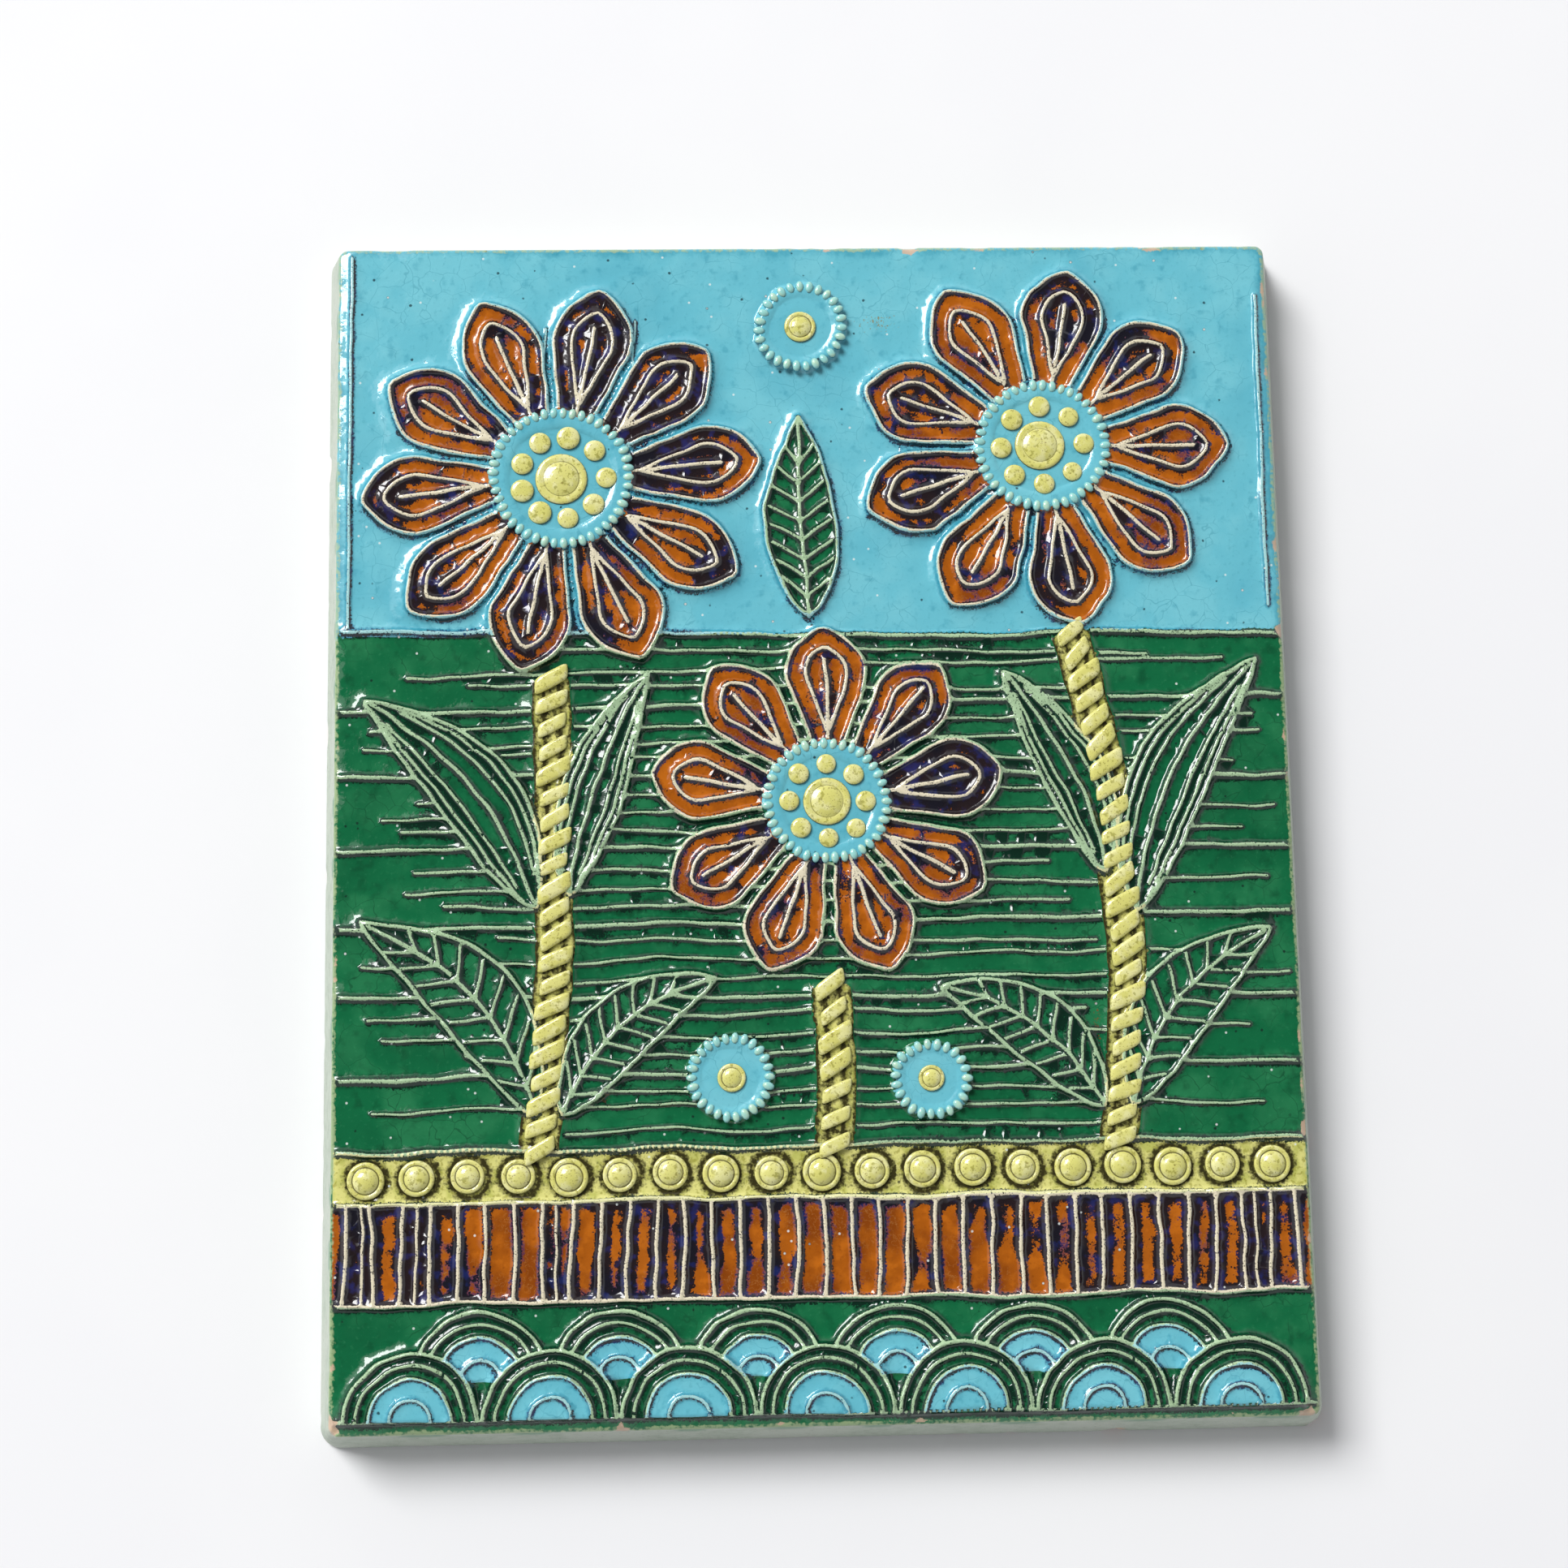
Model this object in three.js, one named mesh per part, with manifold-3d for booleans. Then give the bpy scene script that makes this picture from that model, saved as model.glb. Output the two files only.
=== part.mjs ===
// Glazed ceramic wall plaque: one slab with leaning sides, a moulded relief on its face and two hanging
// slots in its back. Millimetres, +Z up, X across. The back lies on the plane Y = 0, centred on the origin,
// and the relief faces -Y. It shows three large flowers and their leaves above three bands of beads, ribs
// and scales.
import * as THREE from 'three';
import { mergeVertices } from 'three/addons/utils/BufferGeometryUtils.js';
import Module from 'manifold-3d';

const wasm = await Module();
wasm.setup();

// Slab
const SLAB_WIDTH = 330; // across the back
const SLAB_HEIGHT = 407;
const SLAB_THICKNESS = 21; // from the back to the plain face between the motifs
const SIDE_DRAFT = 5; // how far each side leans in between back and face
const BACK_CORNER_RADIUS = 7;
const FACE_CORNER_RADIUS = 3;
const ARRIS = 1.2; // worn edge round the face and the back
const CORNER_STEPS = 4;

// Hanging slots in the back
const SLOT_WIDTH = 12;
const SLOT_LENGTH = 20;
const SLOT_DEPTH = 12;
const SLOT_SPACING = 180;
const SLOT_BELOW_TOP = 45; // from the top edge to the slot's middle
const SLOT_STEPS = 6;

// Raised lines and the levels of the fields that they border, above the plain face
const ROOT_DEPTH = 2; // every motif starts this far inside the slab
const LINE_WIDTH = 1.8;
const LINE_HEIGHT = 1.1;
const SHARPEST_MITRE = 0.5; // keeps the line's corners from running out at narrow tips
const LEAF_LEVEL = 1.3;
const PETAL_LEVEL = 1.5;
const STEM_LEVEL = 1.2;
const HEART_LEVEL = 2.8;
const ROSETTE_LEVEL = 2.2;

// Bands across the foot of the face, from the bottom up
const FOOT_MARGIN = 4.5; // plain strip under the scales
const SIDE_MARGIN = 4; // plain strip at both ends of every band
const SCALES_PER_ROW = 7;
const SCALE_ROW_RISE = 12;
const SCALE_BACK_LEVEL = 0.5;
const SCALE_FRONT_LEVEL = 1.7;
const SCALE_CORE = 0.6; // the half disc in a scale, as a share of its radius
const SCALE_STEPS = 6;
const SCALE_BORDER = 2; // between the scales and the line above them
const RIB_BAND_HEIGHT = 32;
const RIB_PITCH = 9;
const BEAD_BAND_HEIGHT = 17;
const BEAD_PITCH = 16;
const BEAD_RADIUS = 6;
const BEAD_HEIGHT = 2.6;
const BEAD_RINGS = [[1, 0.45], [0.6, 0.9]]; // shares of the radius and the height
const BUTTON_RINGS = [[1, 0.7], [0.6, 0.95]];
const BOSS_SIDES = 8;

// Garden above the bands. Places are shares of its width and height, sizes are shares of its width.
const HORIZON = 0.557;
const GROUND_LINES = 7; // up to the horizon, behind the plants
const GROUND_TILT = 1.6; // no two of them lie quite level
const GROUND_TILT_TURN = 2.4;
const FLOWERS = [
  { x: -0.2625, z: 0.732, radius: 0.2125, petals: 10, turn: 0.1 },
  { x: 0.25, z: 0.765, radius: 0.2, petals: 9, turn: 0.0 },
  { x: 0.0125, z: 0.3685, radius: 0.1875, petals: 9, turn: 0.17 },
];
const PETAL_GAP = 1.2; // between neighbouring petals at their widest
const PETAL_WIDEST = 0.7; // shares of the flower's radius
const PETAL_SHOULDER = 0.88;
const PETAL_SHOULDER_WIDTH = 0.75; // a share of the widest
const PETAL_MIDRIB = 0.8;
const HEART_RADIUS = 0.36; // the scalloped middle and what stands on it, as shares of the flower's radius
const HEART_SCALLOPS = 12;
const PETAL_ROOT = 0.3; // inside the middle
const BUTTON_RADIUS = 0.13;
const BUTTON_HEIGHT = 4.2;
const SEEDS = 8;
const SEED_SIDES = 6;
const SEED_RADIUS = 0.055;
const SEED_RING = 0.22;
const SEED_HEIGHT = 3.6;
const STEM_WIDTH = 11;
const STEM_STEPS = 5;
const TWIST_PITCH = 12;
const TWIST_FILL = 0.76; // the share of the pitch that a pad fills
const TWIST_WIDTH = 0.9; // a share of the stem's width
const TWIST_SLANT = 3; // how far one end of a pad lies above its middle
const TWIST_HEIGHT = 2.6;
const STEMS = [
  [[-0.275, 0.508], [-0.262, 0.25], [-0.2875, 0]],
  [[0.272, 0.552], [0.345, 0.3], [0.305, 0]],
  [[0.0125, 0.168], [0.02, 0.09], [0.0125, 0]],
];
const LEAVES = [
  { base: [-0.29, 0.258], tip: [-0.469, 0.485], width: 0.082, bend: -0.1 },
  { base: [-0.29, 0.037], tip: [-0.472, 0.245], width: 0.082, bend: -0.12 },
  { base: [-0.265, 0.037], tip: [-0.106, 0.18], width: 0.07, bend: 0.12 },
  { base: [-0.256, 0.27], tip: [-0.172, 0.512], width: 0.062, bend: 0.06 },
  { base: [0.333, 0.245], tip: [0.469, 0.52], width: 0.08, bend: 0.1 },
  { base: [0.32, 0.037], tip: [0.472, 0.226], width: 0.08, bend: 0.12 },
  { base: [0.29, 0.037], tip: [0.125, 0.167], width: 0.07, bend: -0.12 },
  { base: [0.305, 0.29], tip: [0.2, 0.512], width: 0.064, bend: -0.06 },
  { base: [0.0, 0.575], tip: [-0.012, 0.8], width: 0.075, bend: 0.02 },
];
const LEAF_STEPS = 5;
const LEAF_FULLNESS = 0.85; // below 1 the widest place lies nearer the base
const LEAF_ROUNDNESS = 0.8;
const LEAF_MIDRIB = [0.02, 0.35, 0.65, 0.97]; // shares of the leaf's length
const ROSETTES = [
  { x: -0.094, z: 0.074, radius: 0.043 },
  { x: 0.1125, z: 0.068, radius: 0.04 },
  { x: -0.006, z: 0.905, radius: 0.048 },
];
const ROSETTE_SCALLOPS = 9;
const ROSETTE_BUTTON = 0.34; // a share of its radius
const SCALLOP_SHARE = 0.9; // of the radius, between two scallops

const faceWidth = SLAB_WIDTH - 2 * SIDE_DRAFT;
const faceHeight = SLAB_HEIGHT - 2 * SIDE_DRAFT;
const bandHalf = faceWidth / 2 - SIDE_MARGIN;
const scaleRadius = bandHalf / SCALES_PER_ROW;
const scaleFloor = -faceHeight / 2 + FOOT_MARGIN;
const scaleTop = scaleFloor + SCALE_ROW_RISE + scaleRadius + SCALE_BORDER;
const ribTop = scaleTop + RIB_BAND_HEIGHT;
const beadTop = ribTop + BEAD_BAND_HEIGHT;
const gardenHeight = faceHeight / 2 - beadTop;

const point = (x, z) => new THREE.Vector2(x, z);
const garden = ([x, z]) => point(x * faceWidth, beadTop + z * gardenHeight);

// A three.js geometry as a manifold solid.
function solidOf(geometry) {
  const bare = geometry.clone();
  bare.deleteAttribute('normal');
  bare.deleteAttribute('uv');
  const merged = mergeVertices(bare, 1e-4);
  return new wasm.Manifold(new wasm.Mesh({
    numProp: 3,
    vertProperties: merged.attributes.position.array,
    triVerts: new Uint32Array(merged.index.array),
  }));
}

// A flat outline on the face, raised from inside the slab to a height above the face.
function raised(outline, top, hole) {
  const shape = new THREE.Shape(outline);
  if (hole) shape.holes.push(new THREE.Path(hole));
  const geometry = new THREE.ExtrudeGeometry(shape, { depth: top + ROOT_DEPTH, bevelEnabled: false });
  geometry.rotateX(Math.PI / 2).translate(0, ROOT_DEPTH - SLAB_THICKNESS, 0);
  return solidOf(geometry);
}

// A path moved sideways by a distance, with mitred corners.
function offset(path, distance, closed) {
  const last = path.length - 1;
  const direction = (i) => path[(i + 1) % path.length].clone().sub(path[i]).normalize();
  return path.map((here, i) => {
    const inward = direction(i > 0 ? i - 1 : closed ? last : 0);
    const outward = direction(i < last || closed ? i : last - 1);
    const along = inward.clone().add(outward).normalize();
    const stretch = Math.max(along.dot(outward), SHARPEST_MITRE);
    return point(here.x - (along.y * distance) / stretch, here.y + (along.x * distance) / stretch);
  });
}

// A raised line of the usual width along a path.
function line(path, field) {
  const outline = [...offset(path, LINE_WIDTH / 2), ...offset(path, -LINE_WIDTH / 2).reverse()];
  return raised(outline, field + LINE_HEIGHT);
}

// A field with a raised line round it.
function borderedField(outline, field) {
  const counterClockwise = THREE.ShapeUtils.isClockWise(outline) ? [...outline].reverse() : outline;
  const inner = offset(counterClockwise, LINE_WIDTH / 2, true);
  const outer = offset(counterClockwise, -LINE_WIDTH / 2, true);
  return [raised(outer, field), raised(outer, field + LINE_HEIGHT, inner)];
}

// A turned boss standing on the face, from rings of [share of the radius, share of the height].
function boss(centre, radius, height, rings) {
  const profile = [point(0, -ROOT_DEPTH), point(radius, -ROOT_DEPTH)];
  for (const [across, up] of rings) profile.push(point(radius * across, height * up));
  profile.push(point(0, height));
  const geometry = new THREE.LatheGeometry(profile, BOSS_SIDES);
  geometry.rotateX(Math.PI).translate(centre.x, -SLAB_THICKNESS, centre.y);
  return solidOf(geometry);
}

// A polygon whose corners swing between its radius and a share of it.
function polygon(centre, radius, corners, inner = 1) {
  const outline = [];
  for (let i = 0; i < corners; i++) {
    const angle = (2 * Math.PI * i) / corners;
    const reach = radius * (i % 2 ? inner : 1);
    outline.push(point(centre.x + reach * Math.cos(angle), centre.y + reach * Math.sin(angle)));
  }
  return outline;
}

// A disc with scallops round its edge.
function scalloped(centre, radius, scallops) {
  return polygon(centre, radius, 2 * scallops, SCALLOP_SHARE);
}

// A pointed blade along a bent midrib: returns its place at a share along and a signed share across.
function blade(base, tip, width, bend) {
  const along = tip.clone().sub(base);
  const side = point(-along.y, along.x);
  return (s, across) => {
    const bow = 4 * s * (1 - s) * bend;
    const swell = Math.max(Math.sin(Math.PI * s ** LEAF_FULLNESS), 0);
    const half = (width / 2) * swell ** LEAF_ROUNDNESS;
    const middle = base.clone().addScaledVector(along, s).addScaledVector(side, bow);
    return middle.addScaledVector(side.clone().normalize(), half * across);
  };
}

// The edge of a blade, up one side and down the other.
function bladeOutline(place) {
  const outline = [];
  for (let i = 0; i <= LEAF_STEPS; i++) outline.push(place(i / LEAF_STEPS, 1));
  for (let i = LEAF_STEPS - 1; i > 0; i--) outline.push(place(i / LEAF_STEPS, -1));
  return outline;
}

// The rounded rectangle of the slab at one level: inset from the back's outline, with its corner radius.
function slabRing(inset, radius) {
  const ring = [];
  const corners = [[1, 1], [-1, 1], [-1, -1], [1, -1]];
  corners.forEach(([right, up], quarter) => {
    const centreX = right * (SLAB_WIDTH / 2 - inset - radius);
    const centreZ = up * (SLAB_HEIGHT / 2 - inset - radius);
    for (let i = 0; i <= CORNER_STEPS; i++) {
      const angle = (Math.PI / 2) * (quarter + i / CORNER_STEPS);
      ring.push([centreX + radius * Math.cos(angle), centreZ + radius * Math.sin(angle)]);
    }
  });
  return ring;
}

// The slab without its relief: rings from back to face, closed by a cap at each end.
function slab() {
  const faceRadius = FACE_CORNER_RADIUS - ARRIS / 2;
  const levels = [
    { y: 0, ring: slabRing(ARRIS, BACK_CORNER_RADIUS - ARRIS / 2) },
    { y: -ARRIS, ring: slabRing(0, BACK_CORNER_RADIUS) },
    { y: ARRIS - SLAB_THICKNESS, ring: slabRing(SIDE_DRAFT, FACE_CORNER_RADIUS) },
    { y: -SLAB_THICKNESS, ring: slabRing(SIDE_DRAFT + ARRIS, faceRadius) },
  ];
  const count = levels[0].ring.length;
  const positions = levels.flatMap(({ y, ring }) => ring.flatMap(([x, z]) => [x, y, z]));
  const faces = [];
  for (let level = 0; level < levels.length - 1; level++) {
    for (let i = 0; i < count; i++) {
      const [a, b] = [level * count + i, level * count + ((i + 1) % count)];
      faces.push(a, b, a + count, b, b + count, a + count);
    }
  }
  const front = (levels.length - 1) * count;
  for (let i = 1; i < count - 1; i++) {
    faces.push(0, i + 1, i);
    faces.push(front, front + i, front + i + 1);
  }
  const geometry = new THREE.BufferGeometry();
  geometry.setAttribute('position', new THREE.Float32BufferAttribute(positions, 3));
  geometry.setIndex(faces);
  return solidOf(geometry);
}

// An upright slot with round ends, cut into the back for a screw head.
function hangingSlot(side) {
  const centreX = (side * SLOT_SPACING) / 2;
  const centreZ = SLAB_HEIGHT / 2 - SLOT_BELOW_TOP;
  const radius = SLOT_WIDTH / 2;
  const outline = [];
  for (const up of [1, -1]) {
    const endZ = centreZ + up * (SLOT_LENGTH / 2 - radius);
    for (let i = 0; i <= SLOT_STEPS; i++) {
      const angle = Math.PI * (i / SLOT_STEPS) + (up > 0 ? 0 : Math.PI);
      outline.push(point(centreX + radius * Math.cos(angle), endZ + radius * Math.sin(angle)));
    }
  }
  const geometry = new THREE.ExtrudeGeometry(new THREE.Shape(outline), {
    depth: 2 * SLOT_DEPTH,
    bevelEnabled: false,
  });
  geometry.rotateX(Math.PI / 2).translate(0, SLOT_DEPTH, 0);
  return solidOf(geometry);
}

// Two rows of overlapping scales, the front row standing over the feet of the back row.
function scaleBand() {
  const solids = [];
  const arc = (centreX, floor, radius) => {
    const path = [];
    for (let i = 0; i <= SCALE_STEPS; i++) {
      const angle = (Math.PI * i) / SCALE_STEPS;
      path.push(point(centreX + radius * Math.cos(angle), floor + radius * Math.sin(angle)));
    }
    return path;
  };
  const rows = [
    { floor: scaleFloor + SCALE_ROW_RISE, level: SCALE_BACK_LEVEL, first: 1, count: SCALES_PER_ROW - 1 },
    { floor: scaleFloor, level: SCALE_FRONT_LEVEL, first: 0, count: SCALES_PER_ROW },
  ];
  const nearLine = scaleRadius - LINE_WIDTH / 2;
  for (const { floor, level, first, count } of rows) {
    for (let i = 0; i < count; i++) {
      const centreX = -bandHalf + scaleRadius * (1 + first + 2 * i);
      solids.push(raised(arc(centreX, floor, nearLine), level));
      solids.push(line(arc(centreX, floor, nearLine), level));
      solids.push(raised(arc(centreX, floor, scaleRadius * SCALE_CORE), level + LINE_HEIGHT / 2));
    }
  }
  return solids;
}

function acrossLine(z, field) {
  return line([point(-bandHalf, z), point(bandHalf, z)], field);
}

// Upright raised lines between two lines across.
function ribBand() {
  const solids = [acrossLine(scaleFloor, 0), acrossLine(scaleTop, 0), acrossLine(ribTop, 0)];
  const count = Math.floor((2 * bandHalf) / RIB_PITCH);
  const pitch = (2 * bandHalf - LINE_WIDTH) / count;
  for (let i = 0; i <= count; i++) {
    const x = -bandHalf + LINE_WIDTH / 2 + i * pitch;
    solids.push(line([point(x, scaleTop), point(x, ribTop)], 0));
  }
  return solids;
}

// A row of round buttons, each a flat ring with a dome in it.
function beadBand() {
  const solids = [acrossLine(beadTop, 0)];
  const count = Math.floor((2 * bandHalf) / BEAD_PITCH);
  const pitch = (2 * bandHalf) / count;
  for (let i = 0; i < count; i++) {
    const centre = point(-bandHalf + (i + 0.5) * pitch, (ribTop + beadTop) / 2);
    solids.push(boss(centre, BEAD_RADIUS, BEAD_HEIGHT, BEAD_RINGS));
  }
  return solids;
}

// The ground behind the plants: level lines up to the horizon.
function ground() {
  const solids = [];
  const horizonZ = garden([0, HORIZON]).y;
  for (let i = 1; i <= GROUND_LINES; i++) {
    const z = beadTop + (i * (horizonZ - beadTop)) / GROUND_LINES;
    const rise = GROUND_TILT * Math.sin(GROUND_TILT_TURN * i);
    solids.push(line([point(-bandHalf, z - rise), point(bandHalf, z + rise)], 0));
  }
  return solids;
}

// A twisted stem: a flat strip with slanting pads along it.
function stem(nodes) {
  const curve = new THREE.QuadraticBezierCurve(...nodes.map(garden));
  const strip = curve.getSpacedPoints(STEM_STEPS);
  const half = STEM_WIDTH / 2;
  const solids = [raised([...offset(strip, half), ...offset(strip, -half).reverse()], STEM_LEVEL)];
  const count = Math.floor(curve.getLength() / TWIST_PITCH);
  const pitch = curve.getLength() / count;
  for (let i = 0; i < count; i++) {
    const centre = curve.getPointAt((i + 0.5) / count);
    const along = curve.getTangentAt((i + 0.5) / count);
    const corner = (across, down) => {
      const slope = (down * pitch * TWIST_FILL) / 2 + across * TWIST_SLANT;
      const side = point(-along.y, along.x).multiplyScalar(across * half * TWIST_WIDTH);
      return centre.clone().addScaledVector(along, slope).add(side);
    };
    solids.push(raised([corner(-1, -1), corner(1, -1), corner(1, 1), corner(-1, 1)], TWIST_HEIGHT));
  }
  return solids;
}

// A leaf with a raised border and a midrib.
function leaf({ base, tip, width, bend }) {
  const place = blade(garden(base), garden(tip), width * faceWidth, bend);
  const midrib = line(LEAF_MIDRIB.map((s) => place(s, 0)), LEAF_LEVEL);
  return [...borderedField(bladeOutline(place), LEAF_LEVEL), midrib];
}

// A pointed petal that grows out of a flower's middle, with a raised border and a midrib.
function petal(centre, radius, angle, petals) {
  const out = point(Math.cos(angle), Math.sin(angle));
  const side = point(-out.y, out.x);
  const at = (share, across) => {
    return centre.clone().addScaledVector(out, share * radius).addScaledVector(side, across);
  };
  const halfWidth = (share) => (Math.PI * share * radius) / petals - (LINE_WIDTH + PETAL_GAP) / 2;
  const edge = [
    [PETAL_ROOT, halfWidth(PETAL_ROOT)],
    [PETAL_WIDEST, halfWidth(PETAL_WIDEST)],
    [PETAL_SHOULDER, halfWidth(PETAL_WIDEST) * PETAL_SHOULDER_WIDTH],
  ];
  const outline = [
    ...edge.map(([share, half]) => at(share, -half)),
    at(1, 0),
    ...edge.reverse().map(([share, half]) => at(share, half)),
  ];
  const midrib = line([at(PETAL_ROOT, 0), at(PETAL_MIDRIB, 0)], PETAL_LEVEL);
  return [...borderedField(outline, PETAL_LEVEL), midrib];
}

// A flower: a ring of petals round a scalloped middle, which carries a button and a ring of seeds.
function flower({ x, z, radius: share, petals, turn }) {
  const centre = garden([x, z]);
  const radius = share * faceWidth;
  const solids = [
    raised(scalloped(centre, radius * HEART_RADIUS, HEART_SCALLOPS), HEART_LEVEL),
    boss(centre, radius * BUTTON_RADIUS, BUTTON_HEIGHT, BUTTON_RINGS),
  ];
  for (let i = 0; i < petals; i++) {
    solids.push(...petal(centre, radius, turn + (2 * Math.PI * i) / petals, petals));
  }
  for (const place of polygon(centre, radius * SEED_RING, SEEDS)) {
    solids.push(raised(polygon(place, radius * SEED_RADIUS, SEED_SIDES), SEED_HEIGHT));
  }
  return solids;
}

// A small scalloped disc with a button.
function rosette({ x, z, radius: share }) {
  const centre = garden([x, z]);
  const radius = share * faceWidth;
  return [
    raised(scalloped(centre, radius, ROSETTE_SCALLOPS), ROSETTE_LEVEL),
    boss(centre, radius * ROSETTE_BUTTON, ROSETTE_LEVEL + LINE_HEIGHT, BUTTON_RINGS),
  ];
}

function plaqueSolid() {
  const relief = [
    ...scaleBand(), ...ribBand(), ...beadBand(), ...ground(),
    ...STEMS.flatMap(stem), ...LEAVES.flatMap(leaf),
    ...FLOWERS.flatMap(flower), ...ROSETTES.flatMap(rosette),
  ];
  const body = wasm.Manifold.union([slab(), ...relief]);
  return [-1, 1].reduce((solid, side) => solid.subtract(hangingSlot(side)), body);
}

function plaqueMesh() {
  const { vertProperties, triVerts } = plaqueSolid().getMesh();
  const geometry = new THREE.BufferGeometry();
  geometry.setAttribute('position', new THREE.BufferAttribute(vertProperties, 3));
  geometry.setIndex(new THREE.BufferAttribute(triVerts, 1));
  geometry.computeVertexNormals();
  const glaze = new THREE.MeshStandardMaterial({ color: '#3f7f6a', roughness: 0.2, metalness: 0 });
  const mesh = new THREE.Mesh(geometry, glaze);
  mesh.name = 'plaque';
  return mesh;
}

const plaque = new THREE.Group();
plaque.add(plaqueMesh());

export default plaque;
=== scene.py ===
"""Looks of the glazed ceramic wall plaque: a pressed slab with a raised flower garden, rows of beads and twisted
stems, coloured with glossy glazes over a dark oxide wash, on a plain pale wall."""

import math

import bpy
import numpy as np
from mathutils import Matrix, Vector
from mathutils.geometry import delaunay_2d_cdt
from mathutils.kdtree import KDTree


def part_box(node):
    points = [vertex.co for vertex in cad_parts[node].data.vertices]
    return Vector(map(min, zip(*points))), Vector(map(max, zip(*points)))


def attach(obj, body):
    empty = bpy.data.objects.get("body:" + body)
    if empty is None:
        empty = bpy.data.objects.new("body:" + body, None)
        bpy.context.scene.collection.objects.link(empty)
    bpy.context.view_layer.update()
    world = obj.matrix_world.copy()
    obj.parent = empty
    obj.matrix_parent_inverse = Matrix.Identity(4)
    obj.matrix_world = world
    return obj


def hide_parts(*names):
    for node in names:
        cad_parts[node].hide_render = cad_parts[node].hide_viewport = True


bl_info = {
    "name": "Glazed wall plaque",
    "version": (1, 0, 0),
    "blender": (4, 5, 0),
    "location": "3D View > Sidebar > Plaque",
    "description": "Builds a glazed ceramic wall plaque with a raised flower garden",
    "category": "Add Mesh",
}

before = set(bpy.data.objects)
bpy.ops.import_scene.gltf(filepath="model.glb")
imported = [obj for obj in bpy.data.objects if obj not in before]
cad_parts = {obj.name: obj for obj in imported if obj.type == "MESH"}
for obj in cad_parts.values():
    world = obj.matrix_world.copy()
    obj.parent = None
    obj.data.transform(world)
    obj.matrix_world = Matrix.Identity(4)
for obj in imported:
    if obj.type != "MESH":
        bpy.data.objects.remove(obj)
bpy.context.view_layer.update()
PLAQUE_LOW, PLAQUE_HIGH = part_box("plaque")

MM = 0.001
WASH_AND_SHADE_WAY = np.array([0.55, -0.83])  # the way across the face, to the lower right and away from the light, in which the oxide wash ran before firing and towards which painted shade beside the raised lines is laid
FAR = 60.0  # a distance in millimetres that means "no line near"
FACE_WIDTH = 0.32  # in metres, the unit in which the camera's place was solved
# The glazes as the attribute "zone" has them, and the slab's parts as the attribute "part" has them.
GREEN, AMBER, TURQUOISE, CREAM = (0, 0, 0), (1, 0, 0), (0, 1, 0), (0, 0, 1)
FACE, FRONT_EDGE, SIDE, BACK = 0, 0.5, 1, 2
# The mesh's spacings in millimetres: round the slab, along the lines, the face's loose and fine nets, the back's net
# and the least distance that is kept between two points of the face.
EDGE_STEP, LINE_STEP, LOOSE_NET, FINE_NET, BACK_NET, CLOSEST = 2.6, 2.0, 2.3, 0.75, 7.0, 0.26
SLOT_POINTS = 32  # in a slot's outline
RIM_KNOB_PITCH = 3.1  # millimetres between the small knobs round a dish
WAVE_SIZE = 11  # millimetres between the waves of the fired glaze
CHIP_PITCH = 10.5  # millimetres between the worn places along the arrises
VALLEY_BLUR = 12  # how many times the relief is blurred to find its hollows
PAD_TURN = 0.12  # how far a pad stands off its path's way at most, in radians
WALL_SPREAD = 18  # how many times as wide as the plaque the wall is
CREAM_GLAZE = "Cream yellow majolica glaze"
PADS_TREE = "Pads along a path"

# The garden's layout. Places are shares of the garden's width and height, sizes are shares of its width.
HORIZON = 0.557
FLOWERS = (
    {"x": -0.2625, "z": 0.732, "radius": 0.2125, "petals": 10, "turn": 0.1},
    {"x": 0.25, "z": 0.765, "radius": 0.2, "petals": 9, "turn": 0.0},
    {"x": 0.0125, "z": 0.3685, "radius": 0.1875, "petals": 9, "turn": 0.17},
)
STEMS = (
    ((-0.275, 0.508), (-0.262, 0.25), (-0.2875, 0.0)),
    ((0.272, 0.552), (0.345, 0.3), (0.305, 0.0)),
    ((0.0125, 0.168), (0.02, 0.09), (0.0125, 0.0)),
)
LEAVES = (
    {"base": (-0.29, 0.258), "tip": (-0.469, 0.485), "width": 0.082, "bend": -0.1, "ribs": False},
    {"base": (-0.29, 0.037), "tip": (-0.472, 0.245), "width": 0.082, "bend": -0.12, "ribs": True},
    {"base": (-0.265, 0.037), "tip": (-0.106, 0.18), "width": 0.07, "bend": 0.12, "ribs": True},
    {"base": (-0.256, 0.27), "tip": (-0.172, 0.512), "width": 0.062, "bend": 0.06, "ribs": False},
    {"base": (0.333, 0.245), "tip": (0.469, 0.52), "width": 0.08, "bend": 0.1, "ribs": False},
    {"base": (0.32, 0.037), "tip": (0.472, 0.226), "width": 0.08, "bend": 0.12, "ribs": True},
    {"base": (0.29, 0.037), "tip": (0.125, 0.167), "width": 0.07, "bend": -0.12, "ribs": True},
    {"base": (0.305, 0.29), "tip": (0.2, 0.512), "width": 0.064, "bend": -0.06, "ribs": False},
    {"base": (0.0, 0.575), "tip": (-0.012, 0.8), "width": 0.075, "bend": 0.02, "ribs": True},
)
ROSETTES = (
    {"x": -0.094, "z": 0.074, "radius": 0.043},
    {"x": 0.1125, "z": 0.068, "radius": 0.04},
    {"x": -0.006, "z": 0.905, "radius": 0.048},
)
# Chips: where each one's middle is on the slab's edges as signed shares of width and height, its place between the
# back (0) and the face (1), its radius and its depth in millimetres.
CHIPS = (
    (1.0, -1.0, 0.0, 7.0, 2.4),
    (0.97, -1.0, 1.0, 3.2, 0.9),
    (-0.41, -1.0, 1.0, 2.6, 0.7),
    (0.23, 1.0, 1.0, 3.0, 0.8),
    (-1.0, 0.62, 0.0, 4.0, 1.3),
    (1.0, 0.31, 1.0, 2.6, 0.7),
    (-1.0, -0.98, 1.0, 3.4, 1.0),
    (0.58, -1.0, 0.0, 4.4, 1.4),
)
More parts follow.
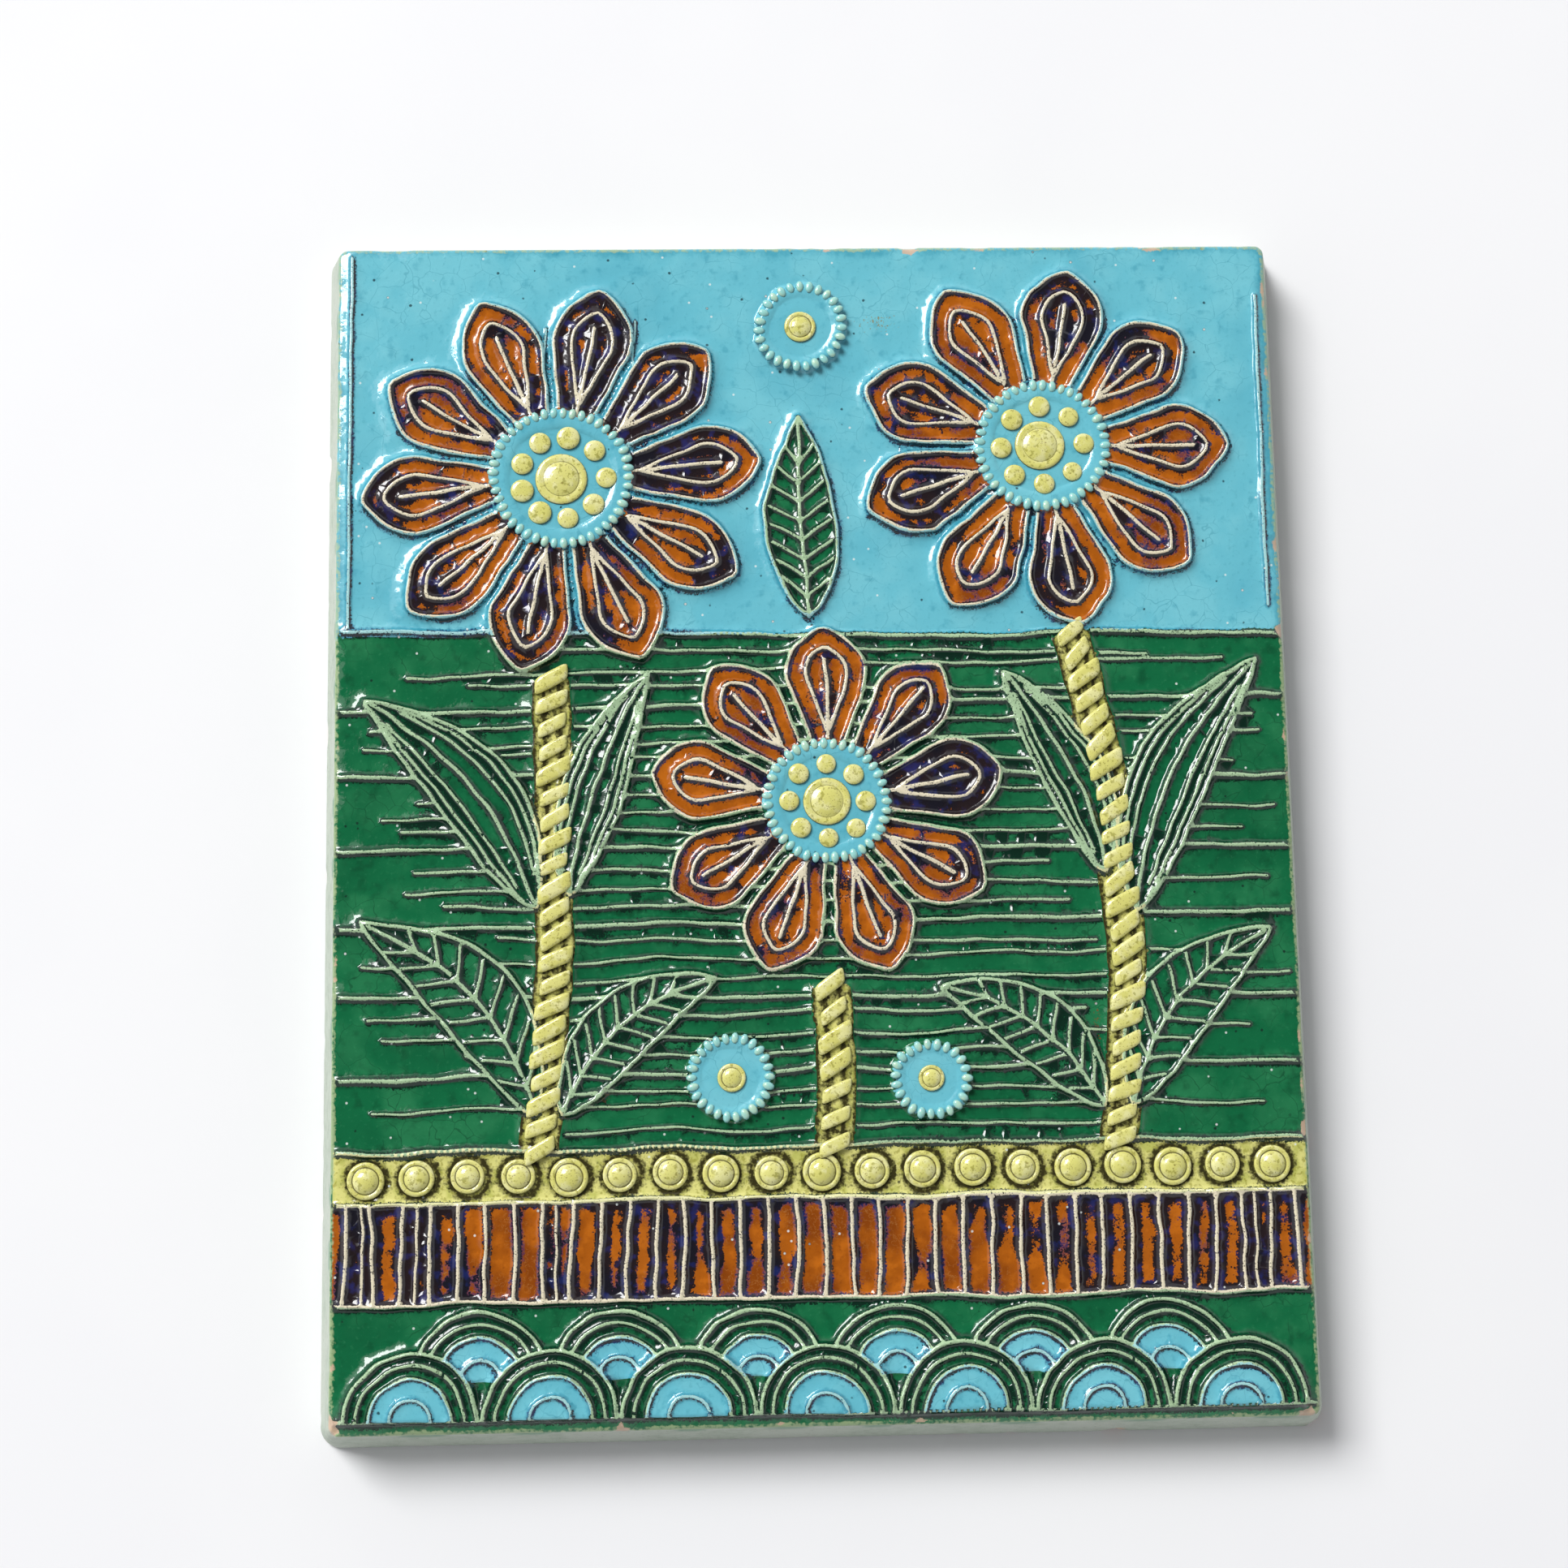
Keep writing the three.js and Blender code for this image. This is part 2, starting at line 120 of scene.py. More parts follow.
# Stains in the glaze: the middle across and up, half the width and half the height in millimetres, and the colour.
STAINS = (
    (25.0, 171.0, 13.0, 8.0, "#8C7F45"),
    (92.0, -70.0, 3.4, 15.0, "#7A4320"),
    (-70.0, -92.0, 4.0, 5.0, "#6B4A22"),
)
# Profiles of the pads, from the foot to the crown: radius, height, and how far the ring lies in a groove.
BEAD_RINGS = (
    (0.98, -0.5, 1.0),
    (1.0, 0.1, 0.9),
    (0.97, 0.36, 0.35),
    (0.88, 0.5, 0.0),
    (0.78, 0.48, 0.15),
    (0.7, 0.36, 0.85),
    (0.64, 0.48, 0.3),
    (0.55, 0.71, 0.0),
    (0.4, 0.86, 0.0),
    (0.2, 0.965, 0.0),
)
KNOB_RINGS = ((1.0, -0.3, 1.0), (0.93, 0.45, 0.45), (0.55, 0.9, 0.0))
BUTTON_RINGS = (
    (0.96, -0.5, 1.0),
    (1.0, 0.3, 0.8),
    (0.95, 0.6, 0.2),
    (0.8, 0.84, 0.0),
    (0.55, 0.96, 0.0),
    (0.25, 1.0, 0.0),
)
ROPE_RINGS = (
    (0.98, -0.4, 1.0),
    (1.0, 0.2, 0.8),
    (0.97, 0.6, 0.25),
    (0.88, 0.85, 0.0),
    (0.6, 0.97, 0.0),
    (0.3, 1.0, 0.0),
)


def linear(code):
    """A colour from its sRGB hex code, as linear red, green, blue and full alpha."""
    parts = [int(code[i : i + 2], 16) / 255 for i in (1, 3, 5)]
    return (*[p / 12.92 if p <= 0.04045 else ((p + 0.055) / 1.055) ** 2.4 for p in parts], 1.0)


def length_prop(name, description, default_mm):
    """A length's setting, with its default in millimetres."""
    return bpy.props.FloatProperty(
        name=name, description=description, default=default_mm * MM, unit="LENGTH", subtype="DISTANCE", precision=4
    )


def colour_prop(name, description, code):
    """A colour's setting, with its default as an sRGB hex code."""
    return bpy.props.FloatVectorProperty(
        name=name, description=description, default=linear(code), size=4, subtype="COLOR", min=0, max=1
    )


class PlaqueSlab(bpy.types.PropertyGroup):
    """Sizes of the slab itself."""

    thickness: length_prop("Thickness", "From the back to the plain face between the motifs", 21)
    draft: length_prop("Side draft", "How far each side leans in between back and face", 5)
    back_corner: length_prop("Back corner radius", "Round of the corners at the back", 7)
    face_corner: length_prop("Face corner radius", "Round of the corners at the face", 3)
    arris: length_prop("Arris", "Softened edge round the face and the back", 1.2)
    slot_width: length_prop("Slot width", "Width of a hanging slot in the back", 12)
    slot_length: length_prop("Slot length", "Height of a hanging slot", 20)
    slot_depth: length_prop("Slot depth", "Depth of a hanging slot", 12)
    slot_spacing: length_prop("Slot spacing", "Between the middles of the two slots", 180)
    slot_below_top: length_prop("Slot below top", "From the top edge to the slots' middle", 45)
    chip: length_prop("Chips", "Depth of the worn places along the arrises", 0.7)


class PlaqueRelief(bpy.types.PropertyGroup):
    """Sizes of the relief on the face."""

    line_width: length_prop("Line width", "Width of a raised line at half its height", 1.3)
    line_height: length_prop("Line height", "Height of a raised line over its field", 1.15)
    petal_level: length_prop("Petal level", "Height of the petals over the plain face", 1.5)
    leaf_level: length_prop("Leaf level", "Height of the leaves over the plain face", 1.3)
    stem_level: length_prop("Stem level", "Height of the stems' flat strip", 1.2)
    heart_level: length_prop("Heart level", "Height of the flowers' scalloped middles", 2.8)
    rosette_level: length_prop("Rosette level", "Height of the small rosettes", 2.2)
    stem_width: length_prop("Stem width", "Width of the twisted stems", 11)
    twist_pitch: length_prop("Twist pitch", "Between two pads of a twisted stem", 7.6)
    rib_pitch: length_prop("Rib pitch", "Between two upright ribs of the rib band", 9)
    bead_pitch: length_prop("Bead pitch", "Between two beads of the bead band", 16)
    bead_radius: length_prop("Bead radius", "Radius of the beads of the bead band", 6)
    wave: length_prop("Glaze wave", "Unevenness of the fired glaze", 0.3)
    hand: length_prop("Hand wobble", "How far the drawn lines stray from a ruler's", 0.55)
    softening: bpy.props.IntProperty(
        name="Softening", description="How many times the glaze rounds the relief's edges", default=1, min=0, max=8
    )
    seed: bpy.props.IntProperty(name="Seed", description="Fixed seed of everything uneven", default=7)


class PlaqueGlaze(bpy.types.PropertyGroup):
    """Colours of the glazes and the clay."""

    amber: colour_prop("Amber", "Iron-amber glaze of the petals and the rib band", "#AB5A10")
    amber_deep: colour_prop("Deep amber", "The same glaze where it lies thick", "#7E3A0A")
    amber_light: colour_prop("Light amber", "The same glaze where it runs thin", "#C26A17")
    turquoise: colour_prop("Turquoise", "Copper-turquoise glaze of the sky and the flowers' middles", "#6CC0D0")
    turquoise_deep: colour_prop("Deep turquoise", "The same glaze where it pools", "#2187A0")
    green: colour_prop("Green", "Copper-green glaze of the ground, the leaves and the scales", "#11683F")
    green_deep: colour_prop("Deep green", "The same glaze where it pools", "#07301E")
    cream: colour_prop("Cream yellow", "Pale yellow glaze of the beads and stems", "#E0DC86")
    cream_deep: colour_prop("Deep cream", "The same glaze where it pools over the oxide", "#8F8A2E")
    line_cream: colour_prop("Cream line", "Bare tops of the lines on amber", "#E9DFC2")
    line_green: colour_prop("Pale green line", "Thin glaze on the tops of the lines on green", "#AECBA2")
    oxide: colour_prop("Oxide", "Near-black oxide wash in the hollows", "#14171F")
    cobalt: colour_prop("Cobalt", "Blue halo where the oxide runs into the glaze", "#1B2E74")
    sage: colour_prop("Sage wash", "Matt grey-green wash on the sides", "#B4BEB0")
    clay: colour_prop("Clay", "Fired buff clay of the back and the worn edges", "#CDAE94")


class PlaqueStage(bpy.types.PropertyGroup):
    """The wall, the light and the camera."""

    wall: colour_prop("Wall", "Plain pale wall behind the plaque", "#F4F4F5")
    key_power: bpy.props.FloatProperty(
        name="Key light", description="Power of the big soft light at the upper left", default=140, unit="POWER"
    )
    core_power: bpy.props.FloatProperty(
        name="Light core", description="Power of the brighter middle of that light", default=700, unit="POWER"
    )
    world: bpy.props.FloatProperty(name="Room light", description="Strength of the pale light all round", default=0.7)
    lens: bpy.props.FloatProperty(name="Lens", description="Focal length on a 36 mm sensor, in mm", default=58.9)


def sizes(group):
    """The group's lengths in millimetres, its colours and its plain numbers, by name."""
    found = {}
    for name, prop in group.bl_rna.properties.items():
        if prop.type == "FLOAT" and prop.is_array:
            found[name] = tuple(getattr(group, name))
        elif prop.type == "FLOAT":
            found[name] = getattr(group, name) / (MM if prop.unit == "LENGTH" else 1)
        elif prop.type == "INT":
            found[name] = getattr(group, name)
    return found


def all_sizes(scene):
    """What the settings say of the slab, the relief and the glazes."""
    return [sizes(group) for group in (scene.plaque_slab, scene.plaque_relief, scene.plaque_glaze)]


def smooth(low, high, value):
    """0 below low, 1 above high and an even ramp between them."""
    t = np.clip((value - low) / (high - low), 0, 1)
    return t * t * (3 - 2 * t)


def ripple(points, size, seed):
    """A smooth unevenness between about -1 and 1 from seven waves, with hills about this many millimetres apart."""
    rng = np.random.default_rng(seed)
    total = np.zeros(len(points))
    for _ in range(7):
        direction = rng.normal(size=2)
        direction *= 2 * math.pi / (size * rng.uniform(0.7, 1.6)) / np.linalg.norm(direction)
        total += np.sin(points @ direction + rng.uniform(0, 2 * math.pi))
    return total / 3.2


def distances(points, path, closed):
    """Each point's distance to a path, in millimetres."""
    starts = path if closed else path[:-1]
    ends = np.roll(path, -1, axis=0) if closed else path[1:]
    spans = ends - starts
    lengths = np.maximum((spans**2).sum(1), 1e-9)
    best = np.full(len(points), FAR**2)
    for start, span, length in zip(starts, spans, lengths):
        offset = points - start
        share = np.clip(offset @ span / length, 0, 1)
        offset -= share[:, None] * span
        np.minimum(best, (offset**2).sum(1), out=best)
    return np.sqrt(best)


def inside(points, outline):
    """Whether each point lies in a closed outline."""
    result = np.zeros(len(points), bool)
    x, z = points[:, 0], points[:, 1]
    for (x0, z0), (x1, z1) in zip(outline, np.roll(outline, -1, axis=0)):
        if z0 == z1:
            continue
        crosses = (z0 > z) != (z1 > z)
        result ^= crosses & (x < (x1 - x0) * (z - z0) / (z1 - z0) + x0)
    return result


def resampled(path, spacing, closed):
    """The same path with points at an even spacing."""
    points = np.vstack([path, path[:1]]) if closed else path
    along = np.concatenate([[0], np.cumsum(np.linalg.norm(np.diff(points, axis=0), axis=1))])
    count = max(int(round(along[-1] / spacing)), 2)
    places = np.linspace(0, along[-1], count + 1)[: count if closed else None]
    return np.column_stack([np.interp(places, along, points[:, k]) for k in (0, 1)])


def normals(path, closed):
    """A unit normal at each point of a path."""
    if closed:
        along = np.roll(path, -1, axis=0) - np.roll(path, 1, axis=0)
    else:
        along = np.gradient(path, axis=0)
    along /= np.maximum(np.linalg.norm(along, axis=1), 1e-9)[:, None]
    return np.column_stack([-along[:, 1], along[:, 0]])


def rays(angles):
    """The unit vectors at angles from the right, counter-clockwise."""
    return np.column_stack([np.cos(angles), np.sin(angles)])


def circle(centre, radius, count=24):
    """A closed ring of points, counter-clockwise from the right."""
    return centre + radius * rays(np.linspace(0, 2 * math.pi, count, endpoint=False))


class Motifs:
    """Takes the same calls as a Relief, and collects only the paths in them, so that the mesh can follow them."""

    def __init__(self):
        self.paths = []

    def field(self, outline, *_):
        self.paths.append((np.asarray(outline), True))

    def line(self, path, closed=False, **_):
        self.paths.append((np.asarray(path), closed))

    moat = line


def lower(known, pick, values):
    """Puts in the values that are lower than what is known at the picked places."""
    known[pick] = np.minimum(known[pick], values)


class Relief:
    """Height, glaze and distance to the nearest raised line at points on the face, in millimetres. Motifs are
    laid one over the other, and each hides what it covers."""

    REACH = 7.0  # how far from a line its distance is still worked out

    def __init__(self, points, relief):
        self.points = points
        self.relief = relief
        count = len(points)
        self.level, self.ridge, self.lean = (np.zeros(count) for _ in range(3))
        self.line_distance, self.moat_distance, self.near = (np.full(count, FAR) for _ in range(3))
        self.zone = np.zeros((count, 3))
        self.swell = 1 + 0.28 * ripple(points, 14, relief["seed"])

    def measured(self, path, closed):
        """The points near enough to a path to matter to it, and their distances to it."""
        low, high = path.min(0) - self.REACH, path.max(0) + self.REACH
        pick = np.flatnonzero(((self.points > low) & (self.points < high)).all(1))
        return pick, distances(self.points[pick], path, closed)

    def field(self, outline, level, zone, step=2.8):
        """A flat place at a level and in one glaze, with a slope as wide as the step round it."""
        outline = np.asarray(outline)
        pick, away = self.measured(outline, True)
        within = inside(self.points[pick], outline)
        rise = smooth(-step, 0.3, np.where(within, away, -away))
        self.level[pick] += (level - self.level[pick]) * rise
        self.ridge[pick] *= 1 - rise
        covered = pick[within]
        for known in (self.line_distance, self.moat_distance, self.near):
            known[covered] = FAR
        lower(self.near, pick, away)
        self.zone[covered] = zone

    def line(self, path, closed=False, width=1.0, height=1.0):
        """A raised line with a round section. Width and height are shares of a plain line's."""
        path = np.asarray(path)
        pick, away = self.measured(path, closed)
        half = self.relief["line_width"] * width / 2
        bump = np.exp(-0.69 * (away / half) ** 2.1) * self.relief["line_height"] * height
        self.ridge[pick] = np.maximum(self.ridge[pick], bump * self.swell[pick])
        scaled = away / max(width, 0.55)
        # Which side of this line each point lies on, for the wash and for the painted shade on the line's lower right.
        nearer = pick[scaled < self.line_distance[pick]]
        self.lean[nearer] = self.side_of(self.points[nearer], path, closed)
        lower(self.line_distance, pick, scaled)
        lower(self.near, pick, away)

    def moat(self, path, closed=False):
        """Keeps oxide in the hollow along a path."""
        pick, away = self.measured(np.asarray(path), closed)
        lower(self.moat_distance, pick, away)
        lower(self.near, pick, away)

    @staticmethod
    def side_of(points, path, closed):
        """1 where a point lies to the lower right of the path, away from the light, where the wash pooled and where
        painted shade is laid, and -1 to its upper left.
        """
        fine = resampled(path, 1.0, closed)
        across = normals(fine, closed)
        across *= np.where(across @ WASH_AND_SHADE_WAY < 0, -1, 1)[:, None]
        side = np.zeros(len(points))
        for start in range(0, len(points), 2000):
            block = points[start : start + 2000]
            gap = ((block[:, None] - fine[None]) ** 2).sum(2)
            nearest = gap.argmin(1)
            side[start : start + 2000] = ((block - fine[nearest]) * across[nearest]).sum(1)
        return np.clip(side, -1, 1)

    @property
    def height(self):
        """Each point's height over the plain face."""
        return self.level + self.ridge


class Layout:
    """Where everything on the face is, in millimetres from the face's centre."""

    def __init__(self, slab, relief):
        self.slab = slab
        self.relief = relief
        self.width = (PLAQUE_HIGH.x - PLAQUE_LOW.x) / MM - 2 * slab["draft"]
        self.height = (PLAQUE_HIGH.z - PLAQUE_LOW.z) / MM - 2 * slab["draft"]
        # From the bottom upwards: a margin, two rows of scales, the rib band, the bead band and the garden.
        self.band_half = self.width / 2 - 4
        self.edge_half = self.width / 2 - 1.2
        self.scale_radius = self.band_half / 7
        self.scale_floor = -self.height / 2 + 4.5
        self.scale_top = self.scale_floor + 12 + self.scale_radius + 2
        self.rib_top = self.scale_top + 32
        self.bead_top = self.rib_top + 17
        self.garden_height = self.height / 2 - self.bead_top

    def garden(self, place):
        """A place in the garden from its shares of width and height."""
        return np.array([place[0] * self.width, self.bead_top + place[1] * self.garden_height])

    def flower(self, flower):
        """A flower's or rosette's centre and radius."""
        return self.garden((flower["x"], flower["z"])), flower["radius"] * self.width

    def stem(self, nodes, count=40):
        """A stem's middle line, an even curve through three nodes."""
        a, b, c = (self.garden(node) for node in nodes)
        t = np.linspace(0, 1, count)[:, None]
        return (1 - t) ** 2 * a + 2 * t * (1 - t) * b + t**2 * c

    def warp(self, points):
        """Moves points as a hand strays from a ruler, less and less towards the face's edge."""
        edge = np.minimum(self.width / 2 - abs(points[:, 0]), self.height / 2 - abs(points[:, 1]))
        share = smooth(0, 12, edge) * self.relief["hand"]
        stray = np.column_stack([ripple(points, 46, 3), ripple(points, 38, 4)])
        stray += 0.45 * np.column_stack([ripple(points, 11, 5), ripple(points, 9, 6)])
        return points + stray * share[:, None]


def lay_stripe(target, half, low, high, level, zone):
    """A field straight across the face, from low to high."""
    target.field(((-half, low), (half, low), (half, high), (-half, high)), level, zone)


def lay_scales(target, layout):
    """Two rows of overlapping scales with nested arcs and a turquoise core."""
    radius = layout.scale_radius
    unit = rays(np.linspace(0, math.pi, 25))
    # The upper row lies lower and half a scale to the side: lift, level, first half scale and count of a row.
    for lift, level, first, count in ((12, 0.5, 1, 6), (0, 1.7, 0, 7)):
        for i in range(count):
            foot = np.array([-layout.band_half + radius * (1 + first + 2 * i), layout.scale_floor + lift])
            rim = foot + unit * (radius - 0.9)
            target.field(rim, level, GREEN)
            target.field(foot + unit * radius * 0.6, level + 0.55, TURQUOISE, 0.7)
            target.line(rim)
            for share, width, height in ((0.79, 0.8, 0.7), (0.6, 0.85, 0.6), (0.3, 0.8, 0.5)):
                target.line(foot + unit * radius * share, width=width, height=height)


def lay_ribs(target, layout, rng):
    """The amber band with its upright ribs, between two lines across."""
    half, floor, top = layout.edge_half, layout.scale_top, layout.rib_top
    lay_stripe(target, half, floor, top, 0, AMBER)
    inner = layout.band_half - 0.9
    count = int(2 * layout.band_half / layout.relief["rib_pitch"])
    # A rib leans and bows a little by hand, and now and then a finer one stands between two.
    for i in range(count + 1):
        x = -inner + i * 2 * inner / count
        stray = rng.uniform(-0.8, 0.8, 4)
        middle = (x + stray[1] * 0.6, (floor + top) / 2)
        target.line(((x + stray[0], floor + 0.4), middle, (x + stray[2], top - 0.4)), height=1 + 0.3 * stray[3])
        if i < count and rng.random() < 0.28:
            between = x + layout.relief["rib_pitch"] / 2 + stray[3]
            target.line(((between, floor + 1), (between - stray[0], top - 1)), width=0.75, height=0.7)
    for z in (layout.scale_floor, floor, top):
        target.line(((-half, z), (-half / 3, z + 0.5), (half / 3, z - 0.4), (half, z)))


def band_beads(layout):
    """The middles of the beads of the bead band and their pitch."""
    count = int(2 * layout.band_half / layout.relief["bead_pitch"])
    pitch = 2 * layout.band_half / count
    along = (np.arange(count) + 0.5) * pitch - layout.band_half
    return np.column_stack([along, np.full(count, (layout.rib_top + layout.bead_top) / 2)]), pitch


def lay_bead_band(target, layout):
    """The cream band under the beads, with oxide kept round each bead."""
    half = layout.edge_half
    low, high = layout.rib_top, layout.bead_top
    lay_stripe(target, half, low, high, 0.15, CREAM)
    for centre in band_beads(layout)[0]:
        target.moat(circle(centre, layout.relief["bead_radius"] + 0.5, 20), closed=True)
    target.line(((-half, high), (-half / 3, high - 0.4), (half / 3, high + 0.4), (half, high)))
    target.line(((-half, low), (0, low + 0.3), (half, low)))


def lay_ground(target, layout, rng):
    """The green ground with its nearly level lines, and the turquoise sky over it."""
    horizon = layout.garden((0, HORIZON))[1]
    lay_stripe(target, layout.width / 2 + 2, horizon, layout.height / 2 + 2, 0, TURQUOISE)
    half = layout.edge_half
    # Every fourth line is a main one, and the finer ones between are shorter and more at an angle.
    count = 28
    for i in range(1, count + 1):
        share = i / count
        z = layout.bead_top + share * (horizon - layout.bead_top)
        main = i % 4 == 0
        rise = 1.6 * math.sin(0.6 * i) if main else rng.uniform(-2.6, 2.6)
        ends = (0, 0) if main else rng.uniform(0, 60, 2) * (i % 2 + 0.4)
        bow = rng.uniform(-0.8, 0.8)
        nodes = np.linspace(-half + ends[0], half - ends[1], 7)
        across = nodes / half
        path = np.column_stack([nodes, z + rise * across + rng.uniform(-0.7, 0.7, 7) + bow * (1 - across**2)])
        target.line(path, width=1 if main else rng.uniform(0.65, 0.85), height=1 if main else rng.uniform(0.5, 0.8))
    for x, low, high in ((-half + 3, horizon + 4, layout.height / 2 - 3), (half - 3.5, horizon + 8, 180)):
        target.line(((x, low), (x + 0.6, high)), width=0.8, height=0.6)
    for _ in range(5):
        x, z = rng.uniform(-half, half), rng.uniform(horizon + 15, layout.height / 2 - 12)
        reach = rng.uniform(8, 26)
        target.line(((x, z), (x + 0.8, z + reach)), width=0.55, height=0.25)


def leaf_blade(layout, leaf, count=26):
    """The function that gives a leaf's place at a share along its bent midrib and a signed share across it, and the
    leaf's outline."""
    base, tip = layout.garden(leaf["base"]), layout.garden(leaf["tip"])
    along = tip - base
    side = np.array([-along[1], along[0]])
    across_unit = side / np.linalg.norm(side)
    half_width = leaf["width"] * layout.width / 2

    def place(share, across):
        share = np.asarray(share, float)
        bow = 4 * share * (1 - share) * leaf["bend"]
        swell = np.maximum(np.sin(math.pi * share**0.85), 0) ** 0.8
        middle = base + share[..., None] * along + bow[..., None] * side
        return middle + (half_width * swell * across)[..., None] * across_unit

    shares = np.linspace(0, 1, count)
    outline = np.vstack([place(shares, 1), place(shares[-2:0:-1], -1)])
    return place, outline


def lay_leaf(target, layout, leaf):
    """A leaf with a raised border and midrib, and inside either a smaller border or slanting ribs."""
    place, outline = leaf_blade(layout, leaf)
    level = layout.relief["leaf_level"]
    target.field(outline, level, GREEN)
    target.line(place(np.linspace(0.02, 0.97, 12), 0))
    if leaf["ribs"]:
        for share in np.arange(0.1, 0.8, 0.095):
            for across in (-0.84, 0.84):
                rib = place(np.array([share, share + 0.09]), np.array([0.0, across]))
                target.line(rib, width=0.8, height=0.75)
    else:
        for across, start in ((0.52, 0.1), (0.78, 0.05)):
            shares = np.linspace(start, 1 - start * 1.2, 20)
            for side in (-across, across):
                target.line(place(shares, side), width=0.8, height=0.75)
    target.line(outline, closed=True)


def lay_petal(target, layout, centre, radius, angle, petals):
    """A pointed amber petal with a border, a smaller echo of it inside and a short midrib."""
    out = np.array([math.cos(angle), math.sin(angle)])
    side = np.array([-out[1], out[0]])
    widest = math.pi * 0.7 * radius / petals - 1.5

    share = np.linspace(0.3, 1, 40)
    taper = 1 - np.clip((share - 0.7) / 0.3, 0, 1) ** 2.5
    half = np.where(share > 0.7, widest * taper, math.pi * share * radius / petals - 1.5)
    edge = centre + share[:, None] * radius * out
    sides = half[:, None] * side
    outline = softened(np.vstack([edge - sides, (edge + sides)[-2::-1]]), True, 4)
    target.field(outline, layout.relief["petal_level"], AMBER)
    target.line(np.array([centre + s * radius * out for s in (0.3, 0.55, 0.8)]), height=0.9)
    target.line(softened(inner_path(outline, 0.46 * widest), False, 4), width=0.9, height=0.9)
    target.line(outline, closed=True, height=1.1)


def softened(path, closed, reach):
    """The path with its corners rounded over a few millimetres."""
    path = resampled(path, 0.8, closed)
    for _ in range(reach):
        before = np.roll(path, 1, axis=0)
        after = np.roll(path, -1, axis=0)
        if not closed:
            before[0], after[-1] = path[0], path[-1]
        path = (before + 2 * path + after) / 4
    return path[::2] if closed else np.vstack([path[::2], path[-1:]])


def inner_path(outline, inset):
    """The part of a closed outline's smaller, even-spaced echo that keeps its distance from the outline."""
    fine = resampled(outline, 0.8, True)
    shifted = fine + normals(fine, True) * inset
    if not inside(shifted[:1], outline).any() and not inside(shifted, outline).mean() > 0.5:
        shifted = fine - normals(fine, True) * inset
    keep = distances(shifted, outline, True) > inset - 0.06
    first = int(np.argmax(~keep))
    ordered = np.roll(np.arange(len(fine)), -first)
    return shifted[ordered[keep[ordered]]]


def lay_disc(target, centre, radius, level, scallops):
    """A turquoise dish with a scalloped edge and short grooves from its rim inwards."""
    angles = np.linspace(0, 2 * math.pi, 8 * scallops, endpoint=False)
    reach = radius * (0.95 + 0.05 * np.cos(scallops * angles))
    target.field(centre + reach[:, None] * rays(angles), level, TURQUOISE, 1.1)
    target.field(circle(centre, radius * 0.7, 36), level - 0.55, TURQUOISE, 2.4)
    target.moat(circle(centre, radius * 1.03, 36), closed=True)
    for angle in rim_angles(radius):
        ray = np.array([math.cos(angle), math.sin(angle)])
        target.moat((centre + ray * radius * 0.8, centre + ray * radius * 0.9))


def rim_angles(radius):
    """Where the grooves of a dish's rim are, between its knobs."""
    count = int(round(2 * math.pi * radius * 0.88 / RIM_KNOB_PITCH))
    return 2 * math.pi * (np.arange(count) + 0.5) / count


def lay_flower(target, layout, flower):
    """A ring of petals round a scalloped middle."""
    centre, radius = layout.flower(flower)
    for i in range(flower["petals"]):
        angle = flower["turn"] + 2 * math.pi * i / flower["petals"]
        lay_petal(target, layout, centre, radius, angle, flower["petals"])
    lay_disc(target, centre, radius * 0.36, layout.relief["heart_level"], 12)
    target.moat(circle(centre, radius * 0.14), closed=True)


def lay_stem(target, layout, nodes):
    """The flat strip under a twisted stem, dark between and beside the pads."""
    path = layout.stem(nodes)
    half = normals(path, False) * (layout.relief["stem_width"] / 2 + 1)
    target.field(np.vstack([path + half, (path - half)[::-1]]), layout.relief["stem_level"], CREAM)
    for share in (-1, -0.4, 0.4, 1):
        target.moat(path + share * half)


def lay_face(target, layout):
    """The whole relief, from what lies deepest to what lies on top."""
    rng = np.random.default_rng(layout.relief["seed"])
    lay_ground(target, layout, rng)
    for nodes in STEMS:
        lay_stem(target, layout, nodes)
    for leaf in LEAVES:
        lay_leaf(target, layout, leaf)
    for flower in FLOWERS:
        lay_flower(target, layout, flower)
    for rosette in ROSETTES:
        centre, radius = layout.flower(rosette)
        lay_disc(target, centre, radius, layout.relief["rosette_level"], 9)
        target.moat(circle(centre, radius * 0.36, 16), closed=True)
    lay_bead_band(target, layout)
    lay_ribs(target, layout, rng)
    lay_scales(target, layout)


def rounded_ring(half_x, half_z, radius, spacing):
    """A rounded rectangle's points, counter-clockwise from the front. The count depends on the spacing alone."""
    quarter = radius * rays(np.linspace(0, math.pi / 2, 9))
    corners = []
    for sign in ((1, 1), (-1, 1), (-1, -1), (1, -1)):
        corners.append(np.array(sign) * (half_x - radius, half_z - radius) + quarter)
        quarter = quarter @ [[0, 1], [-1, 0]]
    ring = []
    for k, corner in enumerate(corners):
        count = int(2 * (PLAQUE_HIGH.x, PLAQUE_HIGH.z)[k % 2] / MM / spacing)
        side = corners[(k + 1) % 4][0] - corner[-1]
        ring += [*corner, *(corner[-1] + side * i / count for i in range(1, count))]
    return np.array(ring)


def scattered(low, high, pitch, rng):
    """A loose square net of points over a rectangle."""
    x, z = (np.arange(low[k], high[k], pitch) for k in (0, 1))
    net = np.stack(np.meshgrid(x, z), axis=-1).reshape(-1, 2)
    return net + rng.uniform(-0.27, 0.27, net.shape) * pitch


